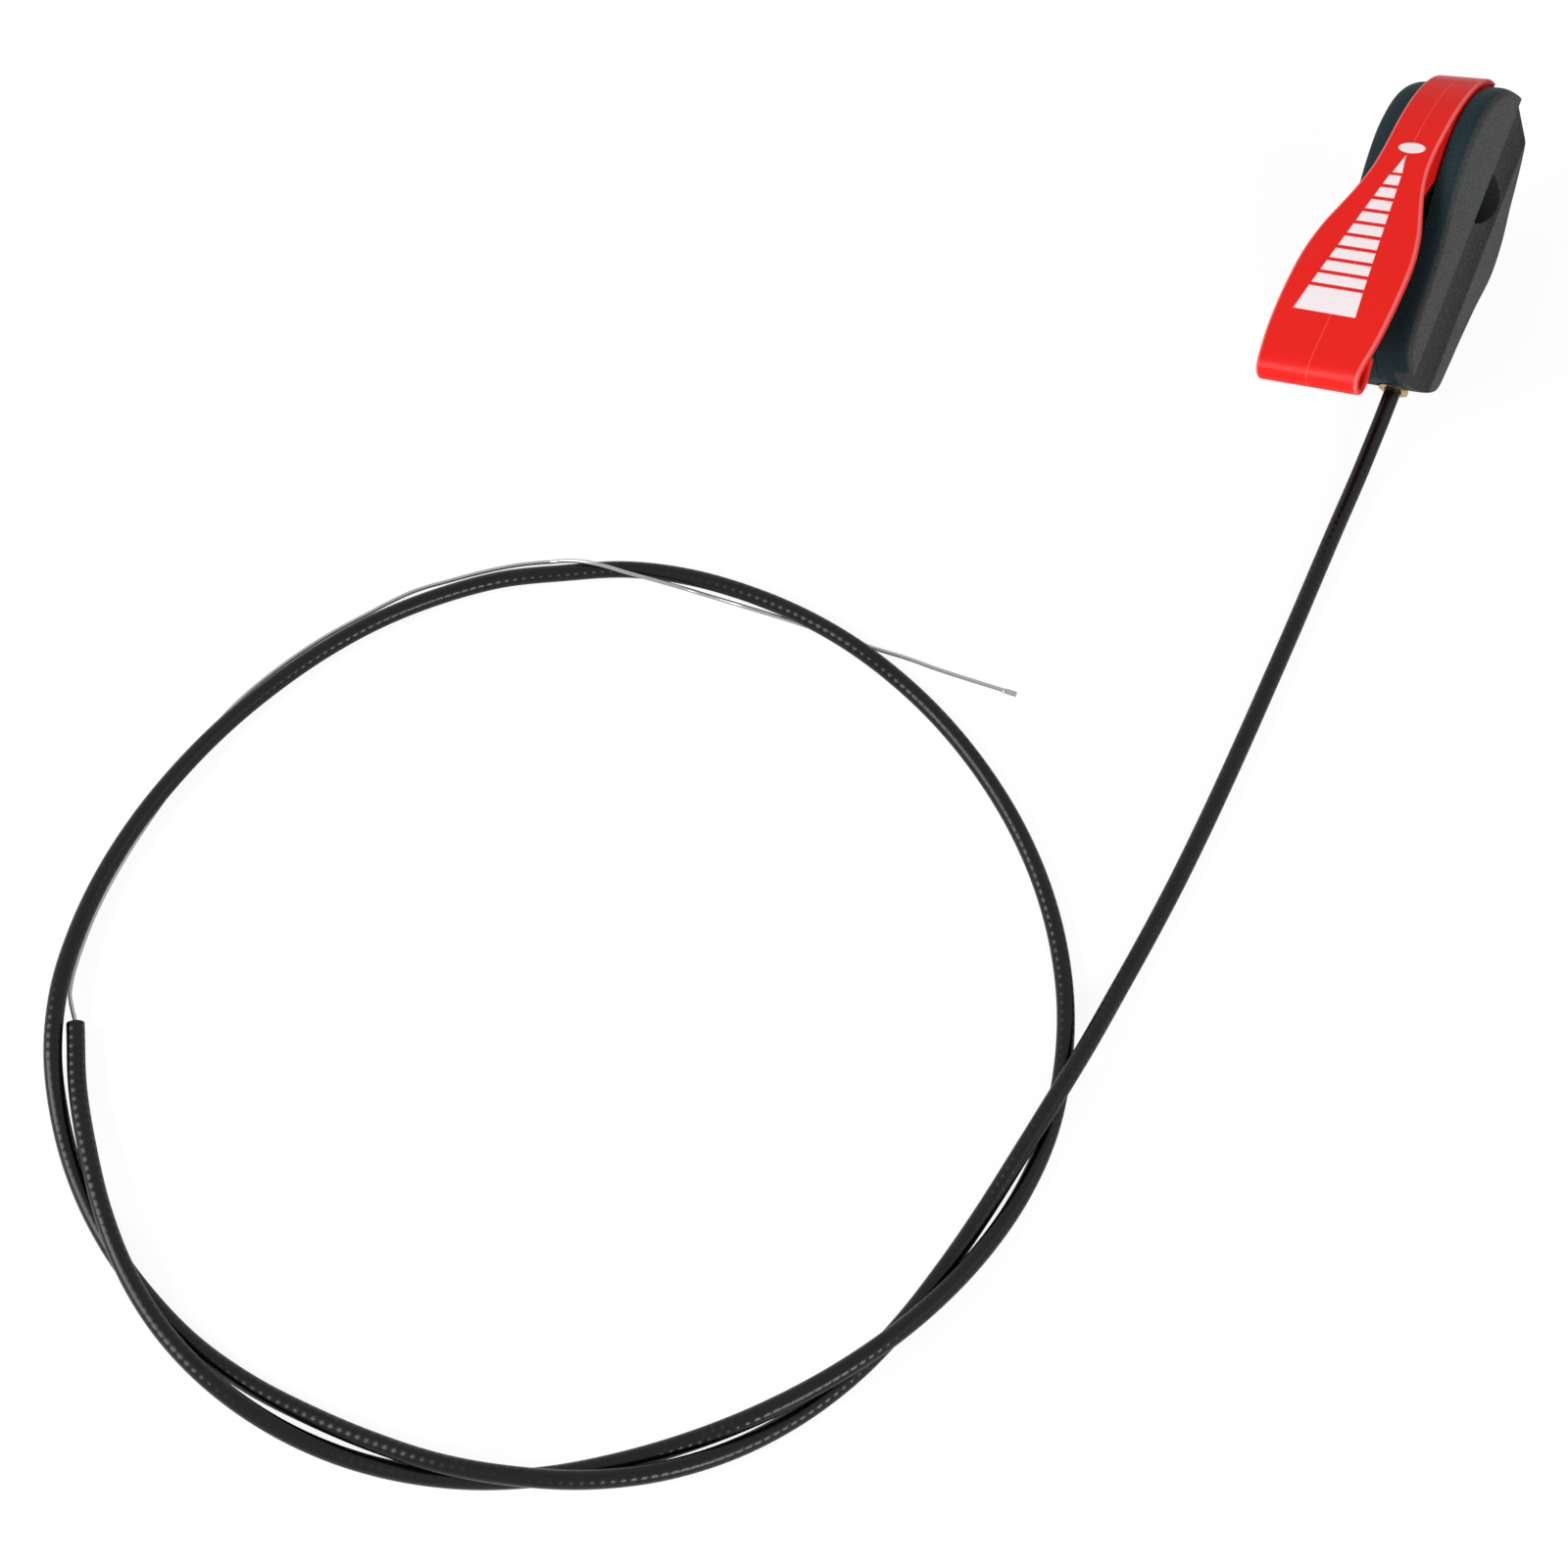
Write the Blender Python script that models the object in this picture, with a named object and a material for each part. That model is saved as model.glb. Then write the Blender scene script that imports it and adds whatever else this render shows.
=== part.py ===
"""Garden-machine throttle cable: lever housing, red lever, sheathed cable in a loose loop and bare wire tail.

Units are millimetres in the tables below and metres in the objects. World +Z is up and the cable lies on z = 0.
The housing is modelled in its own frame (x across along the pivot, y along the housing, z towards the lever),
which the empty "housing_frame" places on the table.
"""
import math

import bpy
import numpy as np
from mathutils import Matrix, Vector

MM = 0.001

# ---- where the housing rests -------------------------------------------------
ORIGIN = (168.22, 148.32, -0.05)       # the row's origin, under the middle of the housing and lever; all positions below are before this shift
HOUSING_POS = (173.5, 124.28, 3.76)     # origin of the housing's frame on the table
HOUSING_YAW = 23.31                    # long axis right of +Y, degrees
HOUSING_PITCH = 19.23                  # top end raised, degrees
HOUSING_ROLL = 29.0                    # rolled to its left, degrees

# ---- housing ------------------------------------------------------------------
HALF_WIDTH = 15.5                      # outer side of each half
SHOULDER = 4.5                         # width of the rounded shoulder
SHOULDER_DROP = 2.4                    # how far the rounded shoulder falls
PARTING_X = 4.6                        # parting plane, on the cable's axis
PARTING_GAP = 0.1                      # each half keeps this far from the plane
SLOT_HALF = 8.7                        # half width of the lever's slot
OUTLINE = [(-4.6, 12), (-3.6, 7), (-0.5, 3.6), (6, 2.6), (15, 1.8), (26, 0.4), (36, -1.4), (46, -0.5), (56, 2.4),
           (64, 4.4), (72, 7.0), (78, 10.2), (81.3, 14), (82.2, 19), (80.6, 25), (76.6, 30.2), (70.5, 33.8),
           (62, 35.6), (54, 35.4), (46, 34.2), (38.5, 32.4), (30, 30.4), (20, 29.0), (10, 28.2), (2, 26.2),
           (-3, 22.0), (-5, 17)]
SLOT_OUTLINE = [(65, 16), (97, -22), (110, 80), (13, 80), (13, 25.5), (40, 24.5), (49, 19.5), (55.5, 12)]
SEAT_Z = 13.5                          # bar seat: groove along the right side
SEAT_CHORD = 11.0
SEAT_DEPTH = 3.0
RECESS_Y = 53.0                        # oval recess in the seat's floor
RECESS_LONG, RECESS_WIDE, RECESS_DEPTH = 15.0, 10.0, 2.6
SCREWS_YZ = [(5.0, 18.5), (23.0, 17.5), (39.0, 17.5)]
SCREW_R, SCREW_HEAD_R, SCREW_HEAD_H = 1.5, 2.9, 2.2
SCREW_END_X = 11.0
HOLE_GAP = 0.15                        # radial room round every fixed pin

# ---- pivot --------------------------------------------------------------------
PIVOT_Y, PIVOT_Z = 65.0, 16.0
PIVOT_SCREW_R, PIVOT_HEAD_R, PIVOT_HEAD_H = 2.5, 4.3, 2.8
BUSH_R = 3.85
BUSH_GAP = 0.08                        # running clearance of the lever on its bush
WASHER_R, WASHER_T = 7.0, 0.4
INSERT_R, INSERT_END_X = 3.6, 11.4
HUB_CLEAR_R = 9.6

# ---- lever --------------------------------------------------------------------
SHEET = 1.8                            # thickness of the lever's band
BAND_ROOM = 0.5                        # the band keeps this far from the slot's sides
# outer surface of the band: y, z, half width beyond its narrow part's
BAND = [(83.3, 22.8, -0.1), (82.4, 26.0, 0.0), (79.8, 29.4, 0.0), (76.0, 32.3, 0.0), (71.0, 34.9, 0.0), (65.5, 36.8, 0.0),
        (60.0, 38.1, 0.0), (53.5, 39.3, 0.0), (46.5, 40.4, 0.6), (39.5, 41.4, 2.4), (33.0, 42.3, 4.8), (26.5, 43.2, 7.2),
        (17.5, 44.4, 9.1), (6.0, 45.8, 9.6), (-5.0, 46.9, 9.2), (-13.0, 47.6, 8.2), (-16.8, 47.4, 7.8), (-19.2, 46.2, 7.7),
        (-20.3, 44.2, 7.6), (-19.8, 42.2, 7.6), (-18.0, 41.1, 7.6), (-15.4, 41.0, 7.6), (-12.4, 41.7, 7.6), (-9.4, 42.6, 7.6)]
FLANGE_X1 = SLOT_HALF - 0.7             # the arms' outer faces leave room for the friction washers
FLANGE_X0 = FLANGE_X1 - 2.0
FLANGE = [(81.3, 23.4), (79.6, 27.2), (75.7, 30.7), (70.6, 33.3), (65.3, 35.1), (60.2, 36.6), (53.3, 38.0), (46.4, 39.1),
          (39.5, 40.1), (33, 41.0), (24, 42.3), (24, 40.6), (33, 38.6), (41, 36.2), (49, 33.0), (54.5, 28.0), (57.0, 20),
          (56.6, 16), (58.3, 10.9), (62, 8.3), (66.5, 7.9), (70.9, 10.4), (73.2, 13.4), (73.85, 17.4), (73.7, 18.6), (80.2, 20.9)]
HUB_R = 7.2
SPOOL_X0, SPOOL_X1, SPOOL_R = 2.4, 3.6, 8.8
WIRE_R = 0.55
WRAP_R = 8.0                           # wire centre on the hub, and the slide's metres per radian
WRAP_FROM, WRAP_TO = 272.5, 373.5      # degrees, y towards z
NIPPLE_AT, NIPPLE_R, NIPPLE_HALF = 391.0, 2.0, 1.8
LEVER_RANGE = 65.0

# ---- cable end in the housing ---------------------------------------------------
CABLE_X, CABLE_Z = 4.6, 8.0
FERRULE_R, FERRULE_Y0, FERRULE_Y1 = 3.5, -3.8, 9.0
FERRULE_RIM_R, FERRULE_RIM = 4.2, 1.0
FERRULE_CUP_Y, FERRULE_HOLE_R = 3.6, 1.1
SHEATH_R = 2.3
CUP_GAP = 0.25
SLEEVE_Y0, SLEEVE_Y1, SLEEVE_BORE_R = -14.5, 3.2, 0.95
LEAD_Y0, LEAD_Y1 = -1.5, 64.6
CORD_GAP = 0.3

# ---- routes on the table ----------------------------------------------------------
SHEATH_ROUTE = [(154.4, 81.3, 3.2), (146.0, 63.0, 2.4), (137.7, 44.8, 2.4), (129.2, 26.6, 2.4), (120.6, 8.4, 2.4),
    (111.8, -9.7, 2.4), (102.7, -27.6, 2.4), (93.1, -45.2, 2.5), (83.1, -62.6, 2.8), (73.4, -79.8, 7.0),
    (62.6, -96.8, 7.2), (51.7, -113.3, 2.9), (40.3, -129.8, 2.4), (27.9, -145.6, 2.4), (13.5, -159.8, 2.5),
    (-3.2, -170.9, 2.5), (-21.4, -178.7, 4.4), (-41.1, -182.5, 6.1), (-61.2, -182.3, 7.5), (-80.9, -178.9, 6.8),
    (-99.8, -172.3, 4.3), (-117.8, -164.2, 2.5), (-135.3, -154.5, 2.4), (-150.4, -141.6, 2.4), (-163.3, -126.6, 2.4),
    (-173.6, -109.2, 2.6), (-180.6, -90.2, 2.6), (-183.4, -70.4, 5.7), (-182.2, -50.5, 4.2), (-177.2, -31.1, 3.4),
    (-168.7, -12.9, 3.8), (-157.9, 4.0, 3.8), (-145.6, 19.9, 2.5), (-131.0, 33.7, 2.4), (-114.9, 45.6, 2.4),
    (-97.0, 54.7, 2.4), (-77.9, 61.0, 2.4), (-58.1, 63.4, 2.4), (-38.0, 64.1, 2.4), (-18.3, 59.7, 2.4),
    (0.2, 51.7, 3.2), (17.1, 40.8, 4.1), (32.6, 28.1, 2.5), (45.6, 12.7, 2.5), (56.2, -4.3, 2.4),
    (64.3, -22.6, 2.4), (69.4, -42.0, 2.4), (71.3, -62.0, 2.4), (69.5, -82.0, 2.4), (64.1, -101.3, 2.5),
    (54.6, -118.7, 2.5), (42.4, -134.1, 5.0), (28.2, -147.6, 7.7), (11.7, -158.8, 7.5), (-6.2, -167.8, 6.4),
    (-25.0, -174.2, 2.9), (-44.3, -179.2, 2.4), (-64.1, -182.0, 2.4), (-84.2, -181.1, 2.4), (-103.7, -176.6, 2.5),
    (-121.7, -168.8, 4.3), (-138.2, -157.4, 7.0), (-152.0, -142.6, 7.2), (-162.3, -125.4, 7.3), (-169.7, -106.7, 5.9),
    (-175.5, -87.4, 4.3), (-178.5, -68.9, 3.6)]
WIRE_ROUTE = [(-178.6, -68.4, 3.6), (-181.4, -60.4, 1.7), (-181.3, -53.0, 0.7), (-179.9, -45.6, 0.7), (-178.1, -38.3, 0.6),
    (-175.7, -31.1, 0.6), (-172.9, -24.1, 0.6), (-169.8, -17.2, 0.6), (-166.4, -10.5, 0.6), (-162.9, -3.8, 0.6),
    (-159.3, 2.9, 0.6), (-155.8, 9.5, 0.6), (-152.2, 16.2, 0.6), (-148.0, 22.4, 0.6), (-143.0, 28.1, 0.6),
    (-137.6, 33.4, 0.6), (-132.0, 38.4, 0.6), (-126.1, 43.1, 0.6), (-119.9, 47.4, 0.6), (-113.5, 51.4, 0.6),
    (-107.1, 55.4, 0.6), (-100.4, 58.9, 0.6), (-93.3, 61.3, 0.6), (-86.1, 63.6, 0.6), (-78.8, 65.6, 0.6),
    (-71.4, 67.0, 0.7), (-63.9, 67.6, 0.9), (-57.5, 65.9, 4.4), (-50.5, 63.8, 5.9), (-43.1, 62.0, 4.8),
    (-35.8, 60.3, 3.8), (-28.7, 58.6, 2.7), (-21.7, 57.3, 0.7), (-14.7, 54.6, 1.2), (-9.2, 52.3, 1.9),
    (-2.1, 50.5, 0.7), (5.0, 47.9, 0.7), (12.1, 45.2, 0.6), (19.1, 42.6, 0.6), (26.2, 40.0, 0.6),
    (33.4, 37.5, 0.6), (40.3, 34.6, 0.6), (47.4, 31.9, 0.6), (54.5, 29.3, 0.7), (59.3, 27.5, 0.8)]
SHEATH_POINTS, WIRE_POINTS = 80, 76
TIP_R, TIP_LENGTH, TIP_GAP = 0.75, 3.0, 0.3

for ob in list(bpy.data.objects):
    bpy.data.objects.remove(ob, do_unlink=True)
scene = bpy.context.scene
parts = bpy.data.collections.new("object")
cutters = bpy.data.collections.new("cutters")
scene.collection.children.link(parts)
scene.collection.children.link(cutters)


def housing_axes():
    """The housing's x, y and z axes in the world: yaw and pitch set y, then the roll turns x and z about it."""
    yaw, pitch, roll = (math.radians(a) for a in (HOUSING_YAW, HOUSING_PITCH, HOUSING_ROLL))
    along = Vector((math.sin(yaw) * math.cos(pitch), math.cos(yaw) * math.cos(pitch), math.sin(pitch)))
    level = Vector((math.cos(yaw), -math.sin(yaw), 0.0))
    up = level.cross(along)
    across = level * math.cos(roll) + up * math.sin(roll)
    return across, along, across.cross(along)


AX, AY, AZ = housing_axes()
frame = bpy.data.objects.new("housing_frame", None)
frame.matrix_world = Matrix.Translation((Vector(HOUSING_POS) - Vector(ORIGIN)) * MM) @ Matrix((AX, AY, AZ)).transposed().to_4x4()
parts.objects.link(frame)


def to_world(p):
    """A point of the housing's frame, in table millimetres before the origin's shift."""
    return Vector(HOUSING_POS) + AX * p[0] + AY * p[1] + AZ * p[2]


def material(name, colour, rough, metal=0.0):
    m = bpy.data.materials.new(name)
    m.use_nodes = True
    b = m.node_tree.nodes["Principled BSDF"]
    b.inputs["Base Color"].default_value = (*colour, 1.0)
    b.inputs["Roughness"].default_value = rough
    b.inputs["Metallic"].default_value = metal
    return m


def put(name, verts, faces, mat=None, cutter=False, in_frame=True):
    """Makes an object from vertices in millimetres, in the housing's frame or the world's."""
    me = bpy.data.meshes.new(name)
    me.from_pydata([tuple(float(c) * MM for c in v) for v in verts], [], faces)
    me.update()
    ob = bpy.data.objects.new(name, me)
    (cutters if cutter else parts).objects.link(ob)
    if in_frame:
        ob.parent = frame
    if cutter:
        ob.hide_render = True
        ob.display_type = "WIRE"
    if mat:
        me.materials.append(mat)
    return ob


def prism(poly, x0, x1):
    """A polygon of (y, z), counter-clockwise seen from +x, made solid from x0 to x1."""
    n = len(poly)
    area = sum(poly[i][0] * poly[(i + 1) % n][1] - poly[(i + 1) % n][0] * poly[i][1] for i in range(n))
    if area < 0:
        poly = poly[::-1]
    v = [(x0, y, z) for y, z in poly] + [(x1, y, z) for y, z in poly]
    f = [tuple(range(n - 1, -1, -1)), tuple(range(n, 2 * n))]
    f += [(i, (i + 1) % n, n + (i + 1) % n, n + i) for i in range(n)]
    return v, f


def circle(cy, cz, r, n=40, ry=None):
    """Points of a circle, or of an ellipse ry long in y."""
    ry = r if ry is None else ry
    return [(cy + ry * math.cos(2 * math.pi * i / n), cz + r * math.sin(2 * math.pi * i / n)) for i in range(n)]


def along_y(x, z, stations, n=32):
    """A turned solid on an axis along y: stations are (y, radius), closed by flat ends."""
    v, f = [], []
    for y, r in stations:
        v += [(x + r * math.cos(2 * math.pi * i / n), y, z + r * math.sin(2 * math.pi * i / n)) for i in range(n)]
    k = len(stations)
    for s in range(k - 1):
        for i in range(n):
            a, b = s * n + i, s * n + (i + 1) % n
            f.append((a, a + n, b + n, b))
    f.append(tuple(range(n)))
    f.append(tuple(range(k * n - 1, (k - 1) * n - 1, -1)))
    return v, f


def along_x(y, z, stations, n=36):
    """A turned solid on an axis along x: stations are (x, radius) with x rising."""
    v, f = [], []
    for x, r in stations:
        v += [(x, y + r * math.cos(2 * math.pi * i / n), z + r * math.sin(2 * math.pi * i / n)) for i in range(n)]
    k = len(stations)
    for s in range(k - 1):
        for i in range(n):
            a, b = s * n + i, s * n + (i + 1) % n
            f.append((a, b, b + n, a + n))
    f.append(tuple(range(n - 1, -1, -1)))
    f.append(tuple(range((k - 1) * n, k * n)))
    return v, f


def tube_x(y, z, x0, x1, r_out, r_in, n=36):
    """A plain tube along x."""
    v, f = [], []
    for x, r in ((x0, r_out), (x1, r_out), (x1, r_in), (x0, r_in)):
        v += [(x, y + r * math.cos(2 * math.pi * i / n), z + r * math.sin(2 * math.pi * i / n)) for i in range(n)]
    for s in range(4):
        for i in range(n):
            j, t = (i + 1) % n, (s + 1) % 4
            f.append((s * n + i, s * n + j, t * n + j, t * n + i))
    return v, f


def revolve_y(x, z, loop, n=32):
    """A closed (y, radius) loop turned about an axis along y."""
    v, f, m = [], [], len(loop)
    for y, r in loop:
        v += [(x + r * math.cos(2 * math.pi * i / n), y, z + r * math.sin(2 * math.pi * i / n)) for i in range(n)]
    for s in range(m):
        for i in range(n):
            j, t = (i + 1) % n, (s + 1) % m
            f.append((s * n + i, t * n + i, t * n + j, s * n + j))
    return v, f


def boolean(ob, tool, op):
    m = ob.modifiers.new(op.lower(), "BOOLEAN")
    m.operation, m.solver, m.object = op, "EXACT", tool
    return m


def cut(ob, name, vf):
    boolean(ob, put(name, vf[0], vf[1], cutter=True), "DIFFERENCE")


def join(ob, name, vf):
    boolean(ob, put(name, vf[0], vf[1], cutter=True), "UNION")


def smooth_closed(pts, per=3):
    """Catmull-Rom curve through a closed list of points, per steps to each span."""
    p = np.array(pts, float)
    n, out = len(p), []
    for i in range(n):
        a, b, c, d = p[i - 1], p[i], p[(i + 1) % n], p[(i + 2) % n]
        for k in range(per):
            t = k / per
            out.append(0.5 * (2 * b + (c - a) * t + (2 * a - 5 * b + 4 * c - d) * t ** 2 + (3 * b - a - 3 * c + d) * t ** 3))
    return np.array(out)


def smooth_open(pts, count):
    """Catmull-Rom curve through the points, read at count + 1 even steps."""
    p = np.array(pts, float)
    e = np.vstack([2 * p[0] - p[1], p, 2 * p[-1] - p[-2]])
    out = []
    for i in range(1, len(e) - 2):
        a, b, c, d = e[i - 1:i + 3]
        t = np.linspace(0, 1, 24, endpoint=False)[:, None]
        out.append(0.5 * (2 * b + (c - a) * t + (2 * a - 5 * b + 4 * c - d) * t ** 2 + (3 * b - a - 3 * c + d) * t ** 3))
    out = np.vstack(out + [e[-2:-1]])
    s = np.r_[0, np.cumsum(np.linalg.norm(np.diff(out, axis=0), axis=1))]
    u = np.linspace(0, s[-1], count + 1)
    return np.stack([np.interp(u, s, out[:, k]) for k in range(3)], 1)


plastic = material("housing_plastic", (0.045, 0.05, 0.052), 0.6)
plastic_r = material("housing_plastic_right", (0.045, 0.05, 0.052), 0.6)
red = material("lever_red", (0.75, 0.03, 0.02), 0.3)
steel = material("zinc_steel", (0.6, 0.6, 0.6), 0.35, 1.0)

# ---- housing halves -------------------------------------------------------------
outline = smooth_closed(OUTLINE)
following, before = np.roll(outline, -1, 0), np.roll(outline, 1, 0)
tangent = following - before
inward = np.stack([-tangent[:, 1], tangent[:, 0]], 1)
inward /= np.linalg.norm(inward, axis=1, keepdims=True)
front = np.clip((outline[:, 1] - 12.0) / 10.0, 0.0, 1.0)      # the shoulder is full on the front, slight on the back
drop = SHOULDER_DROP * (0.25 + 0.75 * front)


def half(name, x_in, x_out, mat):
    """One housing half: the outline from the parting plane to the rounded shoulder at its outer side."""
    sign = 1 if x_out > x_in else -1
    stations = [(x_in, 0.0)]
    for k in (0.0, 0.35, 0.6, 0.8, 0.93, 1.0):
        stations.append((x_out - sign * SHOULDER * (1 - k), 1 - math.sqrt(1 - k * k) if k < 1 else 1.0))
    v, f, n = [], [], len(outline)
    for x, s in stations:
        ring = outline + inward * (drop * s)[:, None]
        v += [(x, y, z) for y, z in ring]
    for s in range(len(stations) - 1):
        for i in range(n):
            a, b = s * n + i, s * n + (i + 1) % n
            f.append((a, b, b + n, a + n) if sign > 0 else (a, a + n, b + n, b))
    ends = (tuple(range(n)), tuple(range((len(stations) - 1) * n, len(stations) * n)))
    f += [ends[0][::-1], ends[1]] if sign > 0 else [ends[0], ends[1][::-1]]
    return put(name, v, f, mat)


left = half("left_housing", PARTING_X - PARTING_GAP, -HALF_WIDTH, plastic)
right = half("right_housing", PARTING_X + PARTING_GAP, HALF_WIDTH, plastic_r)
seat_r = (SEAT_CHORD ** 2 / 4 + SEAT_DEPTH ** 2) / (2 * SEAT_DEPTH)
seat_x = HALF_WIDTH - SEAT_DEPTH + seat_r
recess_x = HALF_WIDTH - SEAT_DEPTH - RECESS_DEPTH
bore_r = FERRULE_R + HOLE_GAP
for ob, tag in ((left, "l"), (right, "r")):
    cut(ob, "slot_" + tag, prism(SLOT_OUTLINE, -SLOT_HALF, SLOT_HALF))
    cut(ob, "hub_room_" + tag, prism(circle(PIVOT_Y, PIVOT_Z, HUB_CLEAR_R, 48), -SLOT_HALF, SLOT_HALF))
    cut(ob, "ferrule_bore_" + tag, along_y(CABLE_X, CABLE_Z, [(FERRULE_Y0 - 6, FERRULE_RIM_R + 0.6), (FERRULE_Y0 + 0.25, FERRULE_RIM_R + 0.6),
        (FERRULE_Y0 + 0.25, bore_r), (FERRULE_Y1 + 0.3, bore_r)]))
    cut(ob, "wire_channel_" + tag, along_y(CABLE_X, CABLE_Z, [(FERRULE_Y1 - 1, 1.3), (PIVOT_Y - 2, 1.3)], 16))
    for k, (sy, sz) in enumerate(SCREWS_YZ):
        hole = SCREW_R + HOLE_GAP
        cut(ob, f"screw_hole_{k + 1}_{tag}", along_x(sy, sz, [(-HALF_WIDTH - 2, SCREW_HEAD_R + 0.3), (-HALF_WIDTH + SCREW_HEAD_H + 0.8, SCREW_HEAD_R + 0.3),
            (-HALF_WIDTH + SCREW_HEAD_H + 0.8, hole), (SCREW_END_X + 0.3, hole)], 28))
cut(left, "pivot_hole_l", along_x(PIVOT_Y, PIVOT_Z, [(-HALF_WIDTH - 2, PIVOT_HEAD_R + 0.4), (-HALF_WIDTH + PIVOT_HEAD_H + 0.6, PIVOT_HEAD_R + 0.4),
    (-HALF_WIDTH + PIVOT_HEAD_H + 0.6, PIVOT_SCREW_R + HOLE_GAP), (-SLOT_HALF + 2, PIVOT_SCREW_R + HOLE_GAP)]))
cut(right, "insert_hole", along_x(PIVOT_Y, PIVOT_Z, [(SLOT_HALF - 2, INSERT_R + HOLE_GAP), (INSERT_END_X + 0.2, INSERT_R + HOLE_GAP)]))
cut(right, "bar_seat", along_y(seat_x, SEAT_Z, [(-30, seat_r), (110, seat_r)], 64))
cut(right, "seat_recess", prism(circle(RECESS_Y, SEAT_Z, RECESS_WIDE / 2, 40, RECESS_LONG / 2), recess_x, HALF_WIDTH + 1))

# ---- lever ------------------------------------------------------------------------
band = np.array(BAND)
path = band[:, :2]
grad = np.gradient(path, axis=0)
grad /= np.linalg.norm(grad, axis=1, keepdims=True)
inner = path + np.stack([-grad[:, 1], grad[:, 0]], 1) * SHEET      # turned left of the path, which runs from top to end
v, f, n = [], [], len(band)
for k in range(n):
    w = SLOT_HALF - BAND_ROOM + band[k, 2]
    v += [(-w, *path[k]), (w, *path[k]), (w, *inner[k]), (-w, *inner[k])]
for k in range(n - 1):
    for i in range(4):
        j = (i + 1) % 4
        f.append((4 * k + i, 4 * k + j, 4 * k + 4 + j, 4 * k + 4 + i))
f += [(3, 2, 1, 0), (4 * n - 4, 4 * n - 3, 4 * n - 2, 4 * n - 1)]
lever = put("throttle_lever", v, f, red)
join(lever, "lever_flange_r", prism(FLANGE, FLANGE_X0, FLANGE_X1))
join(lever, "lever_flange_l", prism(FLANGE, -FLANGE_X1, -FLANGE_X0))
join(lever, "lever_hub", along_x(PIVOT_Y, PIVOT_Z, [(-FLANGE_X1 + 0.5, HUB_R), (FLANGE_X1 - 0.5, HUB_R)], 48))
join(lever, "lever_spool", along_x(PIVOT_Y, PIVOT_Z, [(SPOOL_X0, SPOOL_R), (SPOOL_X1, SPOOL_R)], 48))
na = math.radians(NIPPLE_AT)
ny, nz = PIVOT_Y + WRAP_R * math.cos(na), PIVOT_Z + WRAP_R * math.sin(na)
join(lever, "lever_boss", along_x(ny, nz, [(SPOOL_X0 - 1.2, NIPPLE_R + 0.8), (FLANGE_X0 + 1.0, NIPPLE_R + 0.8)], 28))
cut(lever, "lever_bore", along_x(PIVOT_Y, PIVOT_Z, [(-20, BUSH_R + BUSH_GAP), (20, BUSH_R + BUSH_GAP)], 48))
cut(lever, "nipple_hole", along_x(ny, nz, [(SPOOL_X0 + 0.1, NIPPLE_R + HOLE_GAP), (20, NIPPLE_R + HOLE_GAP)], 28))
way = []
for r, turn in ((WRAP_R - 0.75, 1), (WRAP_R + 1.2, -1)):
    for k in range(9):
        a = math.radians(NIPPLE_AT - 45 + 45 * (k if turn > 0 else 8 - k) / 8)
        way.append((PIVOT_Y + r * math.cos(a), PIVOT_Z + r * math.sin(a)))
cut(lever, "wire_way", prism(way, CABLE_X - 0.95, CABLE_X + 0.95))

# ---- pivot hardware -----------------------------------------------------------------
head_in = -HALF_WIDTH + PIVOT_HEAD_H + 0.4
put("pivot_screw", *along_x(PIVOT_Y, PIVOT_Z, [(head_in - PIVOT_HEAD_H, PIVOT_HEAD_R - 0.5), (head_in - PIVOT_HEAD_H + 0.5, PIVOT_HEAD_R), (head_in, PIVOT_HEAD_R),
    (head_in, PIVOT_SCREW_R), (INSERT_END_X - 0.6, PIVOT_SCREW_R), (INSERT_END_X - 0.2, PIVOT_SCREW_R - 0.4)]), material("pivot_screw", (0.6, 0.6, 0.6), 0.3, 1.0))
put("pivot_bush", *tube_x(PIVOT_Y, PIVOT_Z, -FLANGE_X1, FLANGE_X1, BUSH_R, PIVOT_SCREW_R + HOLE_GAP), material("pivot_bush", (0.6, 0.6, 0.6), 0.3, 1.0))
washer_x = (FLANGE_X1 + SLOT_HALF) / 2
for tag, s in (("left", -1), ("right", 1)):
    lo = s * washer_x - WASHER_T / 2
    put(f"friction_washer_{tag}", *tube_x(PIVOT_Y, PIVOT_Z, lo, lo + WASHER_T, WASHER_R, PIVOT_SCREW_R + HOLE_GAP), material(f"friction_washer_{tag}", (0.6, 0.6, 0.6), 0.3, 1.0))
put("pivot_insert", *tube_x(PIVOT_Y, PIVOT_Z, SLOT_HALF + 0.15, INSERT_END_X, INSERT_R, PIVOT_SCREW_R + 0.1), material("pivot_insert", (0.7, 0.5, 0.2), 0.3, 1.0))
for k, (sy, sz) in enumerate(SCREWS_YZ):
    top = -HALF_WIDTH + 0.6
    put(f"housing_screw_{k + 1}", *along_x(sy, sz, [(top, SCREW_HEAD_R - 0.6), (top + 0.7, SCREW_HEAD_R), (top + SCREW_HEAD_H, SCREW_HEAD_R),
        (top + SCREW_HEAD_H, SCREW_R), (SCREW_END_X - 1.2, SCREW_R), (SCREW_END_X, 0.5)], 28), material(f"housing_screw_{k + 1}", (0.6, 0.6, 0.6), 0.3, 1.0))

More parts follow.
